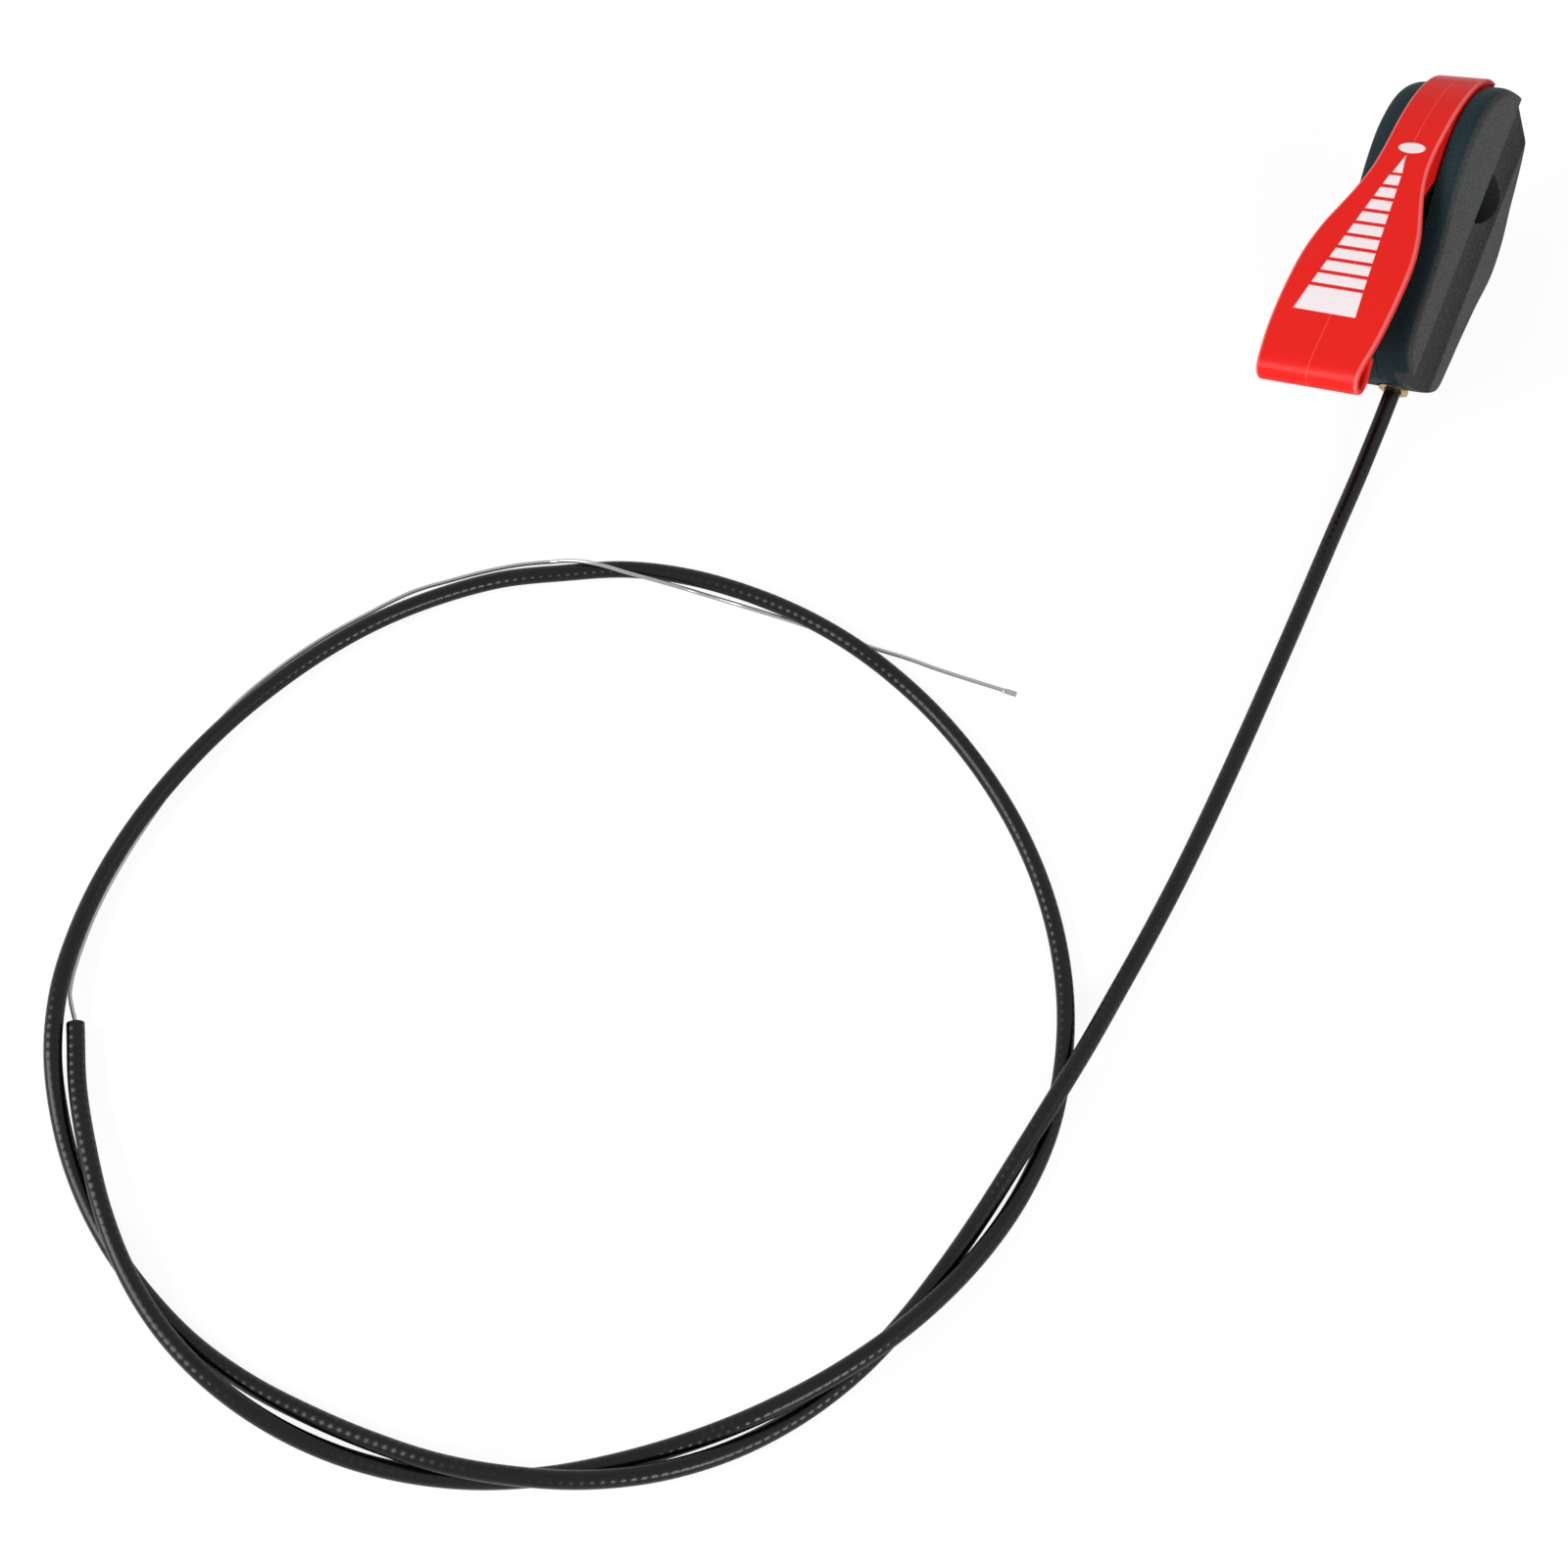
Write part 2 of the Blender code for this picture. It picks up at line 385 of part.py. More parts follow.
# ---- cable end: ferrule, sleeve, inner wire ----------------------------------------
cup = SHEATH_R + CUP_GAP
put("cable_ferrule", *revolve_y(CABLE_X, CABLE_Z, [(FERRULE_Y0 - FERRULE_RIM, FERRULE_RIM_R), (FERRULE_Y0 - FERRULE_RIM, cup), (FERRULE_CUP_Y, cup), (FERRULE_CUP_Y, FERRULE_HOLE_R),
    (FERRULE_Y1, FERRULE_HOLE_R), (FERRULE_Y1, FERRULE_R), (FERRULE_Y0 + 0.05, FERRULE_R), (FERRULE_Y0 + 0.05, FERRULE_RIM_R)][::-1]), material("cable_ferrule", (0.75, 0.6, 0.35), 0.3, 1.0))
put("sheath_sleeve", *revolve_y(CABLE_X, CABLE_Z, [(SLEEVE_Y0, SHEATH_R), (SLEEVE_Y0, SLEEVE_BORE_R), (SLEEVE_Y1, SLEEVE_BORE_R), (SLEEVE_Y1, SHEATH_R)][::-1], 24), material("sheath_sleeve", (0.02, 0.02, 0.02), 0.25))
put("inner_wire", *along_y(CABLE_X, CABLE_Z, [(LEAD_Y0, WIRE_R), (LEAD_Y1, WIRE_R)], 16), material("inner_wire", (0.7, 0.7, 0.7), 0.25, 1.0))
put("wire_nipple", *along_x(ny, nz, [(SPOOL_X0 + 0.3, NIPPLE_R), (SPOOL_X0 + 0.3 + 2 * NIPPLE_HALF, NIPPLE_R)], 24), material("wire_nipple", (0.5, 0.5, 0.5), 0.4, 1.0))


def cord(name, points, radius, res, mat, in_frame=False):
    """A round cord: a poly curve with a round bevel and flat caps, in world or housing millimetres."""
    cu = bpy.data.curves.new(name, "CURVE")
    cu.dimensions, cu.fill_mode = "3D", "FULL"
    cu.bevel_depth, cu.bevel_resolution, cu.use_fill_caps = radius * MM, res, True
    sp = cu.splines.new("POLY")
    sp.points.add(len(points) - 1)
    off = (0.0, 0.0, 0.0) if in_frame else ORIGIN
    for q, p in zip(sp.points, points):
        q.co = ((p[0] - off[0]) * MM, (p[1] - off[1]) * MM, (p[2] - off[2]) * MM, 1.0)
    cu.materials.append(mat)
    ob = bpy.data.objects.new(name, cu)
    parts.objects.link(ob)
    if in_frame:
        ob.parent = frame
    return ob


wrap = []
for k in range(15):
    a = math.radians(WRAP_FROM + (WRAP_TO - WRAP_FROM) * k / 14)
    wrap.append((CABLE_X, PIVOT_Y + WRAP_R * math.cos(a), PIVOT_Z + WRAP_R * math.sin(a)))
cord("wire_wrap", wrap, WIRE_R, 2, material("wire_wrap", (0.7, 0.7, 0.7), 0.25, 1.0), True)
start = [tuple(to_world((CABLE_X, y, CABLE_Z))) for y in (SLEEVE_Y0 - CORD_GAP, SLEEVE_Y0 - 9.0)]
sheath_way = smooth_open(start + SHEATH_ROUTE, SHEATH_POINTS - 1)
cord("cable_sheath", sheath_way, SHEATH_R, 4, material("cable_sheath", (0.02, 0.02, 0.02), 0.25))
wire_way = smooth_open(WIRE_ROUTE, WIRE_POINTS - 1)
cord("wire_tail", wire_way, WIRE_R, 2, material("wire_tail", (0.7, 0.7, 0.7), 0.25, 1.0))
heading = Vector(wire_way[-1] - wire_way[-2]).normalized()
tip_from = Vector(wire_way[-1]) + heading * TIP_GAP
cord("wire_tip", [tuple(tip_from), tuple(tip_from + heading * (TIP_LENGTH / 2)), tuple(tip_from + heading * TIP_LENGTH)], TIP_R, 2, material("wire_tip", (0.7, 0.7, 0.7), 0.25, 1.0))
print("parts", len([o for o in parts.objects if o.type != "EMPTY"]))
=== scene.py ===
# %% [markdown]
# # Throttle cable
# A mower's throttle control: a red lever in a dark moulded housing pulls a thin steel wire through a
# long black sheath. The solids come packed, and this file dresses them.
# Each new shape starts as a surface worked out with numpy, in the same place as its solid. The other
# solids keep their shape and get a finish.

# %% The frame
import math

import bpy
import numpy as np
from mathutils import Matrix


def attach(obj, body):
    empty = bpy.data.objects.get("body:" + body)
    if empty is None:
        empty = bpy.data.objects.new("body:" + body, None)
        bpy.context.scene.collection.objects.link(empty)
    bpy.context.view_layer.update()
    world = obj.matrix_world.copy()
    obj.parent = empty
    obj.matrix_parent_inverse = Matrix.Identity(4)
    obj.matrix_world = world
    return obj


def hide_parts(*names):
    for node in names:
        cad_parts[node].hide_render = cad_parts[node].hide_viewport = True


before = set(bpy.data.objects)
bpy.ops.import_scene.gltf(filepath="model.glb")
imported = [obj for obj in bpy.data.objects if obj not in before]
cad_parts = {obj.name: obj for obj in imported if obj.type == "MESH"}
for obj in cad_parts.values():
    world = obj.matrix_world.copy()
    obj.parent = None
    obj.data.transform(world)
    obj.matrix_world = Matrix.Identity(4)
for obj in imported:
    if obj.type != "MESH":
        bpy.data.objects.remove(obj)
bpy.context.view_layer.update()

# %% [markdown]
# ## Where the housing lies
# The housing was drawn lying straight, in millimetres: x across it, y along it and z towards the lever.
# On the table it is turned, tipped and rolled to its left. One function takes a drawn point to its place.

# %% The housing's own axes
ORIGIN = np.array((168.22, 148.32, -0.05))
HOUSING_POS = np.array((173.5, 124.28, 3.76))
YAW, PITCH, ROLL = np.radians((23.31, 19.23, 29.0))
ALONG = np.array((math.sin(YAW) * math.cos(PITCH), math.cos(YAW) * math.cos(PITCH), math.sin(PITCH)))
LEVEL = np.array((math.cos(YAW), -math.sin(YAW), 0.0))
ACROSS = LEVEL * math.cos(ROLL) + np.cross(LEVEL, ALONG) * math.sin(ROLL)
FRONT = np.cross(ACROSS, ALONG)
HOUSING_TURN = np.stack((ACROSS, ALONG, FRONT))


def place(points):
    """Drawn points (x, y, z) in mm to the table, in metres.

    Position = housing + x times across + y times along + z times front.
    """
    return (HOUSING_POS - ORIGIN + np.asarray(points, float) @ HOUSING_TURN) * 0.001


def on_table(points):
    """Route points in mm to metres, from the shared origin."""
    return (np.asarray(points, float) - ORIGIN) * 0.001


print("housing axes", HOUSING_TURN.round(3).tolist())

# %% [markdown]
# ## Grids
# A surface here is a grid of points. Row by row, four neighbours make a face. A grid can close on itself
# either way, as a tube does round its girth, and a ring can be capped by one flat face.


# %% Grid helpers
def grid_faces(rows, cols, close_rows=False, close_cols=True, caps=False):
    """Faces of a grid: point (i, j) joins (i, j+1), (i+1, j+1) and (i+1, j).

    Caps are the first and last rows.
    """
    i = np.arange(rows if close_rows else rows - 1)[:, None]
    j = np.arange(cols if close_cols else cols - 1)[None, :]
    a, b = i * cols + j, i * cols + (j + 1) % cols
    c, d = (i + 1) % rows * cols + (j + 1) % cols, (i + 1) % rows * cols + j
    faces = np.stack((a, b, c, d), -1).reshape(-1, 4).tolist()
    if caps:
        faces += [list(range(cols))[::-1], list(range((rows - 1) * cols, rows * cols))]
    return faces


def shape(name, points, faces, material, uv=None, smooth=True):
    """A mesh object from an array of points in metres, with uv as one pair for each point."""
    mesh = bpy.data.meshes.new(name)
    mesh.from_pydata(np.asarray(points).reshape(-1, 3).tolist(), [], faces)
    if uv is not None:
        layer = mesh.uv_layers.new(name="UVMap")
        corner = np.zeros(len(mesh.loops), np.int32)
        mesh.loops.foreach_get("vertex_index", corner)
        layer.data.foreach_set("uv", np.asarray(uv, np.float32).reshape(-1, 2)[corner].ravel())
    mesh.polygons.foreach_set("use_smooth", np.full(len(mesh.polygons), smooth))
    mesh.update()
    mesh.materials.append(material)
    ob = bpy.data.objects.new(name, mesh)
    bpy.context.scene.collection.objects.link(ob)
    return ob


def catmull(points, per, closed=False):
    """Smooth curve through points.

    On each span it is half of (2b + (c-a)t + (2a-5b+4c-d)t^2 + (3b-a-3c+d)t^3).
    """
    p = np.asarray(points, float)
    open_ends = 2 * p[0] - p[1], p, 2 * p[-1] - p[-2]
    e = np.vstack((p[-1:], p, p[:2]) if closed else open_ends)
    t = (np.arange(per) / per)[None, :, None]
    a, b, c, d = (e[k:len(e) - 3 + k, None, :] for k in range(4))
    q = 0.5 * (2 * b + (c - a) * t + (2 * a - 5 * b + 4 * c - d) * t ** 2 + (3 * b - a - 3 * c + d) * t ** 3)
    q = q.reshape(-1, p.shape[1])
    return q if closed else np.vstack((q, p[-1:]))


def even(points, count):
    """Points read at count + 1 equal steps of length along a line."""
    s = np.r_[0, np.cumsum(np.linalg.norm(np.diff(points, axis=0), axis=1))]
    u = np.linspace(0, s[-1], count + 1)
    return np.stack([np.interp(u, s, points[:, k]) for k in range(points.shape[1])], 1)


# %% [markdown]
# ## Camera
# The photograph looks down on the table at 64 degrees from 0.7 m, with a lens of 60.75 mm on a 36 mm
# sensor. The width of the sheath near and far gave the distance.

# %% The camera
LENS_MM, SENSOR_MM, CAMERA_TILT = 60.75, 36.0, 26.0     # the tilt is from straight down, in degrees
CAMERA_AT = (0.0, -306.86, 629.16)
camera_data = bpy.data.cameras.new("camera")
camera_data.lens, camera_data.sensor_width, camera_data.sensor_fit = LENS_MM, SENSOR_MM, "HORIZONTAL"
camera = bpy.data.objects.new("camera", camera_data)
camera.location = on_table(CAMERA_AT)
camera.rotation_euler = (math.radians(CAMERA_TILT), 0.0, 0.0)
bpy.context.scene.collection.objects.link(camera)
bpy.context.scene.camera = camera
print("camera at", [round(c, 4) for c in camera.location])

# %% [markdown]
# ## Light and floor
# Plain soft light: one lamp low on the left that lays the long grey shine on the sheath's flank, one
# low in front that draws its dotted line, a weak one on the right, and a pale world.
# The camera and mirror-like surfaces see white, and the floor keeps a faint shadow.

# %% World, lamps and floor
WORLD_STRENGTH = 0.38
AIM = (-0.1, -0.1, 0)
FLOOR_HALF, FLOOR_DROP, FLOOR_GREY = 3.0, 0.0002, 0.9
FLOOR_WHITE, WHITE_SHARE = 1.05, 0.86     # how much of the floor that the camera sees is plain white
scene = bpy.context.scene
scene.view_settings.view_transform = "Standard"
world = bpy.data.worlds.new("studio")
scene.world = world
world.use_nodes = True
wt = world.node_tree
wt.nodes.clear()
seen, lit = wt.nodes.new("ShaderNodeBackground"), wt.nodes.new("ShaderNodeBackground")
seen.inputs["Color"].default_value = (1, 1, 1, 1)
seen.inputs["Strength"].default_value = 1.0
lit.inputs["Color"].default_value = (1, 1, 1, 1)
lit.inputs["Strength"].default_value = WORLD_STRENGTH
ray = wt.nodes.new("ShaderNodeLightPath")
mix, wout = wt.nodes.new("ShaderNodeMixShader"), wt.nodes.new("ShaderNodeOutputWorld")
white_rays = wt.nodes.new("ShaderNodeMath"), wt.nodes.new("ShaderNodeMath")
for adder in white_rays:
    adder.operation, adder.use_clamp = "ADD", True
wt.links.new(ray.outputs["Is Camera Ray"], white_rays[0].inputs[0])
wt.links.new(ray.outputs["Is Glossy Ray"], white_rays[0].inputs[1])
wt.links.new(white_rays[0].outputs[0], white_rays[1].inputs[0])
wt.links.new(ray.outputs["Is Transmission Ray"], white_rays[1].inputs[1])
wt.links.new(white_rays[1].outputs[0], mix.inputs["Fac"])
wt.links.new(lit.outputs[0], mix.inputs[1])
wt.links.new(seen.outputs[0], mix.inputs[2])
wt.links.new(mix.outputs[0], wout.inputs["Surface"])


def lamp(name, place_at, size, watts):
    """A square area lamp at a point, turned to face the middle of the part."""
    data = bpy.data.lights.new(name, "AREA")
    data.shape, data.size, data.energy = "SQUARE", size, watts
    ob = bpy.data.objects.new(name, data)
    ob.location = place_at
    way = np.array(place_at) - np.array(AIM)
    tip, spin = math.acos(way[2] / np.linalg.norm(way)), math.atan2(way[1], way[0]) + math.pi / 2
    ob.rotation_euler = (tip, 0.0, spin)
    scene.collection.objects.link(ob)


lamp("front_low", (0.3, -1.15, 0.55), 0.5, 8.0)
lamp("low_left", (-1.3, -0.35, 0.75), 0.85, 17.0)
lamp("fill", (0.9, -0.5, 0.9), 0.9, 1.5)
floor_mat = bpy.data.materials.new("pale_floor")
floor_mat.use_nodes = True
ft = floor_mat.node_tree
ft.nodes["Principled BSDF"].inputs["Base Color"].default_value = (FLOOR_GREY, FLOOR_GREY, FLOOR_GREY, 1)
ft.nodes["Principled BSDF"].inputs["Roughness"].default_value = 0.9
white, fmix = ft.nodes.new("ShaderNodeEmission"), ft.nodes.new("ShaderNodeMixShader")
fray = ft.nodes.new("ShaderNodeLightPath")
share = ft.nodes.new("ShaderNodeMath")
share.operation, share.inputs[1].default_value = "MULTIPLY", WHITE_SHARE
white.inputs["Strength"].default_value = FLOOR_WHITE
ft.links.new(fray.outputs["Is Camera Ray"], share.inputs[0])
ft.links.new(share.outputs[0], fmix.inputs["Fac"])
ft.links.new(ft.nodes["Principled BSDF"].outputs[0], fmix.inputs[1])
ft.links.new(white.outputs[0], fmix.inputs[2])
ft.links.new(fmix.outputs[0], ft.nodes["Material Output"].inputs["Surface"])
corners = [(x * FLOOR_HALF, y * FLOOR_HALF, -FLOOR_DROP) for x, y in ((-1, -1), (1, -1), (1, 1), (-1, 1))]
floor = shape("floor", corners, [(0, 1, 2, 3)], floor_mat, smooth=False)

# %% [markdown]
# ## Finishes
# A node group is a small machine with named inputs. One makes the fine grain of the housing's plastic.
# The other, used by every finish, makes faint handling marks that change gloss from place to place.


# %% Shader groups
def group(name, inputs, outputs):
    """An empty node group with named inputs and outputs."""
    g = bpy.data.node_groups.new(name, "ShaderNodeTree")
    for label, kind, value in inputs:
        s = g.interface.new_socket(label, in_out="INPUT", socket_type=kind)
        if value is not None:
            s.default_value = value
    for label, kind in outputs:
        g.interface.new_socket(label, in_out="OUTPUT", socket_type=kind)
    return g, g.nodes.new("NodeGroupInput"), g.nodes.new("NodeGroupOutput")


def node(tree, kind, links=None, **values):
    """Adds a node, sets its attributes or sockets, and links its inputs from other outputs."""
    n = tree.nodes.new(kind)
    for key, value in values.items():
        if hasattr(n, key):
            setattr(n, key, value)
        else:
            n.inputs[key.replace("_", " ")].default_value = value
    for key, out in (links or {}).items():
        tree.links.new(out, n.inputs[key])
    return n


NUMBER, VECTOR = "NodeSocketFloat", "NodeSocketVector"
grain, gi, go = group("moulded_grain",
                      [("Vector", VECTOR, None), ("Scale", NUMBER, 1200.0), ("Depth", NUMBER, 0.3)],
                      [("Normal", VECTOR), ("Mask", NUMBER)])
g_noise = node(grain, "ShaderNodeTexNoise", {"Vector": gi.outputs["Vector"], "Scale": gi.outputs["Scale"]},
               Detail=3.0, Roughness=0.6)
g_bump = node(grain, "ShaderNodeBump", {"Height": g_noise.outputs["Fac"], "Strength": gi.outputs["Depth"]},
              Distance=0.0002)
grain.links.new(g_bump.outputs["Normal"], go.inputs["Normal"])
grain.links.new(g_noise.outputs["Fac"], go.inputs["Mask"])

marks, mi, mo = group("handling_marks", [("Vector", VECTOR, None), ("Low", NUMBER, 0.3), ("High", NUMBER, 0.4)],
                      [("Roughness", NUMBER)])
m_noise = node(marks, "ShaderNodeTexNoise", {"Vector": mi.outputs["Vector"]},
               Scale=90.0, Detail=5.0, Roughness=0.6)
m_range = node(marks, "ShaderNodeMapRange",
               {"Value": m_noise.outputs["Fac"], "To Min": mi.outputs["Low"], "To Max": mi.outputs["High"]})
m_range.inputs["From Min"].default_value, m_range.inputs["From Max"].default_value = 0.35, 0.65
marks.links.new(m_range.outputs["Result"], mo.inputs["Roughness"])


def finish(name, colour, metallic=0.0, low=0.3, high=0.4, specular=0.5):
    """A material with its own Principled shader and handling marks in the roughness.

    It returns the material, its node tree, the shader and the texture coordinates.
    """
    m = bpy.data.materials.new(name)
    m.use_nodes = True
    t = m.node_tree
    b = t.nodes["Principled BSDF"]
    b.inputs["Base Color"].default_value = (*colour, 1)
    b.inputs["Metallic"].default_value = metallic
    b.inputs["Specular IOR Level"].default_value = specular
    where = node(t, "ShaderNodeTexCoord")
    r = node(t, "ShaderNodeGroup", node_tree=marks)
    t.links.new(where.outputs["Object"], r.inputs["Vector"])
    r.inputs["Low"].default_value, r.inputs["High"].default_value = low, high
    t.links.new(r.outputs["Roughness"], b.inputs["Roughness"])
    return m, t, b, where


print("groups", [g.name for g in bpy.data.node_groups])

# %% [markdown]
# ## Housing plastic
# The housing is a glass-filled moulding with a fine spark-eroded grain. Its front and left side are a
# very dark teal, and the right cover is a neutral charcoal. The colour changes at planes across the
# housing's own axes, and the outermost flat strip is painted a little paler, a painted highlight where it faces the
# light.

# %% Housing finish
# The third colour, for the outer strip, is a painted highlight: that side is paler because of how the light falls on
# it.
TEAL, CHARCOAL, PAINTED_LIT_STRIP = (0.007, 0.021, 0.025, 1), (0.036, 0.037, 0.038, 1), (0.056, 0.057, 0.058, 1)
COVER_X, STRIP_X = 14.2, 15.2            # where the cover and its paler strip begin, across the housing
LOW_RIGHT_X, LOW_RIGHT_Z = 10.0, 20.5    # the cover's colour also comes round the edge, below this height
housing_mat, t, b, where = finish("moulded_housing", (0.03, 0.035, 0.035), low=0.45, high=0.58, specular=0.12)
g = node(t, "ShaderNodeGroup", {"Vector": where.outputs["Object"]}, node_tree=grain)
g.inputs["Scale"].default_value, g.inputs["Depth"].default_value = 1700.0, 0.5
t.links.new(g.outputs["Normal"], b.inputs["Normal"])


def beyond(axis, at, soft, under=False):
    """1 where the drawn coordinate along an axis is past a value in mm, or under it, over a soft edge."""
    far = node(t, "ShaderNodeVectorMath", {0: where.outputs["Object"]}, operation="DOT_PRODUCT")
    far.inputs[1].default_value = tuple(axis * 1000)
    edge = float(axis @ (HOUSING_POS - ORIGIN)) + at
    m = node(t, "ShaderNodeMapRange", {"Value": far.outputs["Value"]}, interpolation_type="SMOOTHSTEP")
    reach = -soft if under else soft
    m.inputs["From Min"].default_value, m.inputs["From Max"].default_value = edge - reach, edge + reach
    return m.outputs["Result"]


cover = node(t, "ShaderNodeMath", {0: beyond(ACROSS, COVER_X, 0.5)}, operation="MAXIMUM")
low_right = node(t, "ShaderNodeMath", operation="MULTIPLY",
                 links={0: beyond(ACROSS, LOW_RIGHT_X, 0.5), 1: beyond(FRONT, LOW_RIGHT_Z, 0.6, under=True)})
t.links.new(low_right.outputs[0], cover.inputs[1])
tone = node(t, "ShaderNodeMix", {"Factor": cover.outputs[0]}, data_type="RGBA")
tone.inputs["A"].default_value, tone.inputs["B"].default_value = TEAL, CHARCOAL
# Past STRIP_X the colour is mixed to the paler strip colour, a painted highlight on the lit side.
painted_lit_strip_tone = node(t, "ShaderNodeMix", {"Factor": beyond(ACROSS, STRIP_X, 0.2), "A": tone.outputs["Result"]},
                  data_type="RGBA")
painted_lit_strip_tone.inputs["B"].default_value = PAINTED_LIT_STRIP
speck = node(t, "ShaderNodeMapRange", {"Value": g.outputs["Mask"]})
speck.inputs["From Min"].default_value, speck.inputs["From Max"].default_value = 0.35, 0.7
speck.inputs["To Min"].default_value, speck.inputs["To Max"].default_value = 0.72, 1.5
paint = node(t, "ShaderNodeVectorMath", {0: painted_lit_strip_tone.outputs["Result"], "Scale": speck.outputs["Result"]},
             operation="SCALE")
t.links.new(paint.outputs["Vector"], b.inputs["Base Color"])
print("housing finish nodes", len(t.nodes))

# %% [markdown]
# ## Housing shell
# Each half is its outline carried from the parting plane to its outer side, with a rounded shoulder.
# Then tools cut the lever's slot, the bar seat with its oval recess, the ferrule's bore and the screw
# holes, and a fine bevel breaks the edges as a mould does.

# %% Housing outline
OUTLINE = [(-4.6, 12), (-3.6, 7), (-0.5, 3.6), (6, 2.6), (15, 1.8), (26, 0.4), (36, -1.4), (46, -0.5), (56, 2.4),
           (64, 4.4), (72, 7.0), (78, 10.2), (81.3, 14), (82.2, 19), (80.6, 25), (76.6, 30.2), (70.5, 33.8),
           (62, 35.6), (54, 35.4), (46, 34.2), (38.5, 32.4), (30, 30.4), (20, 29.0), (10, 28.2), (2, 26.2),
           (-3, 22.0), (-5, 17)]
SLOT_OUTLINE = [(65, 16), (97, -22), (110, 80), (13, 80), (13, 25.5), (40, 24.5), (49, 19.5), (55.5, 12)]
HALF_WIDTH, SHOULDER, SHOULDER_DROP, PARTING_X, SLOT_HALF = 15.5, 4.5, 2.4, 4.6, 8.7
PARTING_GAP = 0.1      # each half stops this far short of the parting plane
outline = catmull(OUTLINE, 7, closed=True)
tangent = np.roll(outline, -1, 0) - np.roll(outline, 1, 0)
inward = np.stack((-tangent[:, 1], tangent[:, 0]), 1)
inward /= np.linalg.norm(inward, axis=1, keepdims=True)
drop = SHOULDER_DROP * (0.25 + 0.75 * np.clip((outline[:, 1] - 12.0) / 10.0, 0, 1))


def half_shell(x_in, x_out):
    """Rings of the outline: ring k lies at x(k) and is pulled inward by drop times 1 - sqrt(1 - k^2)."""
    k = np.sin(np.linspace(0, math.pi / 2, 10))
    x = np.r_[x_in, x_out - math.copysign(SHOULDER, x_out - x_in) * (1 - k)]
    pull = np.r_[0, 1 - np.sqrt(1 - k ** 2)]
    yz = outline[None] + inward[None] * (drop[None, :] * pull[:, None])[..., None]
    rings = np.concatenate((np.broadcast_to(x[:, None, None], yz.shape[:2] + (1,)), yz), 2)
    return rings if x_out > x_in else rings[::-1]


print("outline points", len(outline))


# %% Cutting tools
def tool(name, points, faces):
    """A closed cutter drawn in the housing's millimetres."""
    return shape(name, place(points), faces, housing_mat, smooth=False)


def round_tool(name, axis, centre, stations, count=56):
    """A turned cutter: ring k has the station's radius at its distance along x or y."""
    a = np.linspace(0, 2 * math.pi, count, endpoint=False)
    s = np.array(stations, float)
    along = np.repeat(s[:, 0], count)
    u, v = (s[:, 1:] * np.cos(a)).ravel(), (s[:, 1:] * np.sin(a)).ravel()
    if axis == "x":
        p = np.stack((along, centre[0] + u, centre[1] + v), 1)
        faces = grid_faces(len(s), count, caps=True)
    else:
        p = np.stack((centre[0] + u, along, centre[1] + v), 1)
        faces = [f[::-1] for f in grid_faces(len(s), count, caps=True)]
    return tool(name, p, faces)


def slab_tool(name, poly, x0, x1):
    """A polygon of (y, z) carried from x0 to x1."""
    poly = np.asarray(poly, float)
    area = np.sum(poly[:, 0] * np.roll(poly[:, 1], -1) - np.roll(poly[:, 0], -1) * poly[:, 1])
    poly = poly if area > 0 else poly[::-1]
    p = np.vstack([np.column_stack((np.full(len(poly), x), poly)) for x in (x0, x1)])
    return tool(name, p, grid_faces(2, len(poly), caps=True))


def carve(ob, tools):
    """Cuts the tools out of a shell, breaks its edges by 0.4 mm and leaves a plain mesh."""
    for c in tools:
        m = ob.modifiers.new(c.name, "BOOLEAN")
        m.operation, m.solver, m.object = "DIFFERENCE", "EXACT", c
    bevel = ob.modifiers.new("broken_edge", "BEVEL")
    bevel.width, bevel.segments, bevel.harden_normals = 0.0004, 2, True
    bevel.limit_method, bevel.angle_limit = "ANGLE", math.radians(38)
    mesh = bpy.data.meshes.new_from_object(ob.evaluated_get(bpy.context.evaluated_depsgraph_get()))
    ob.modifiers.clear()
    ob.data = mesh
    for c in tools:
        bpy.data.objects.remove(c, do_unlink=True)


# %% Housing halves
SEAT_Z, SEAT_CHORD, SEAT_DEPTH = 13.5, 11.0, 3.0
RECESS_Y, RECESS_LONG, RECESS_WIDE, RECESS_DEPTH = 53.0, 15.0, 10.0, 2.6
SCREWS_YZ = [(5.0, 18.5), (23.0, 17.5), (39.0, 17.5)]
PIVOT_Y, PIVOT_Z = 65.0, 16.0
CABLE_X, CABLE_Z = 4.6, 8.0
# Turned tools, as (distance along the axis, radius). The hub's room ends just inside the slot, because a
# tool that ends flush with another one empties the shell.
HUB_ROOM = [(-SLOT_HALF + 0.03, 9.6), (SLOT_HALF - 0.03, 9.6)]
FERRULE_BORE = [(-9.8, 4.8), (-3.55, 4.8), (-3.55, 3.65), (9.3, 3.65)]
SCREW_HOLE = [(-17.5, 3.2), (-12.5, 3.2), (-12.5, 1.65), (11.3, 1.65)]
PIVOT_HOLE = [(-17.5, 4.7), (-12.1, 4.7), (-12.1, 2.65), (-6.7, 2.65)]
INSERT_HOLE = [(8.1, 3.75), (11.6, 3.75)]
SEAT_Y0, SEAT_Y1 = -30, 110
seat_r = (SEAT_CHORD ** 2 / 4 + SEAT_DEPTH ** 2) / (2 * SEAT_DEPTH)
ring = np.linspace(0, 2 * math.pi, 48, endpoint=False)
recess = np.stack((RECESS_Y + RECESS_LONG / 2 * np.cos(ring), SEAT_Z + RECESS_WIDE / 2 * np.sin(ring)), 1)
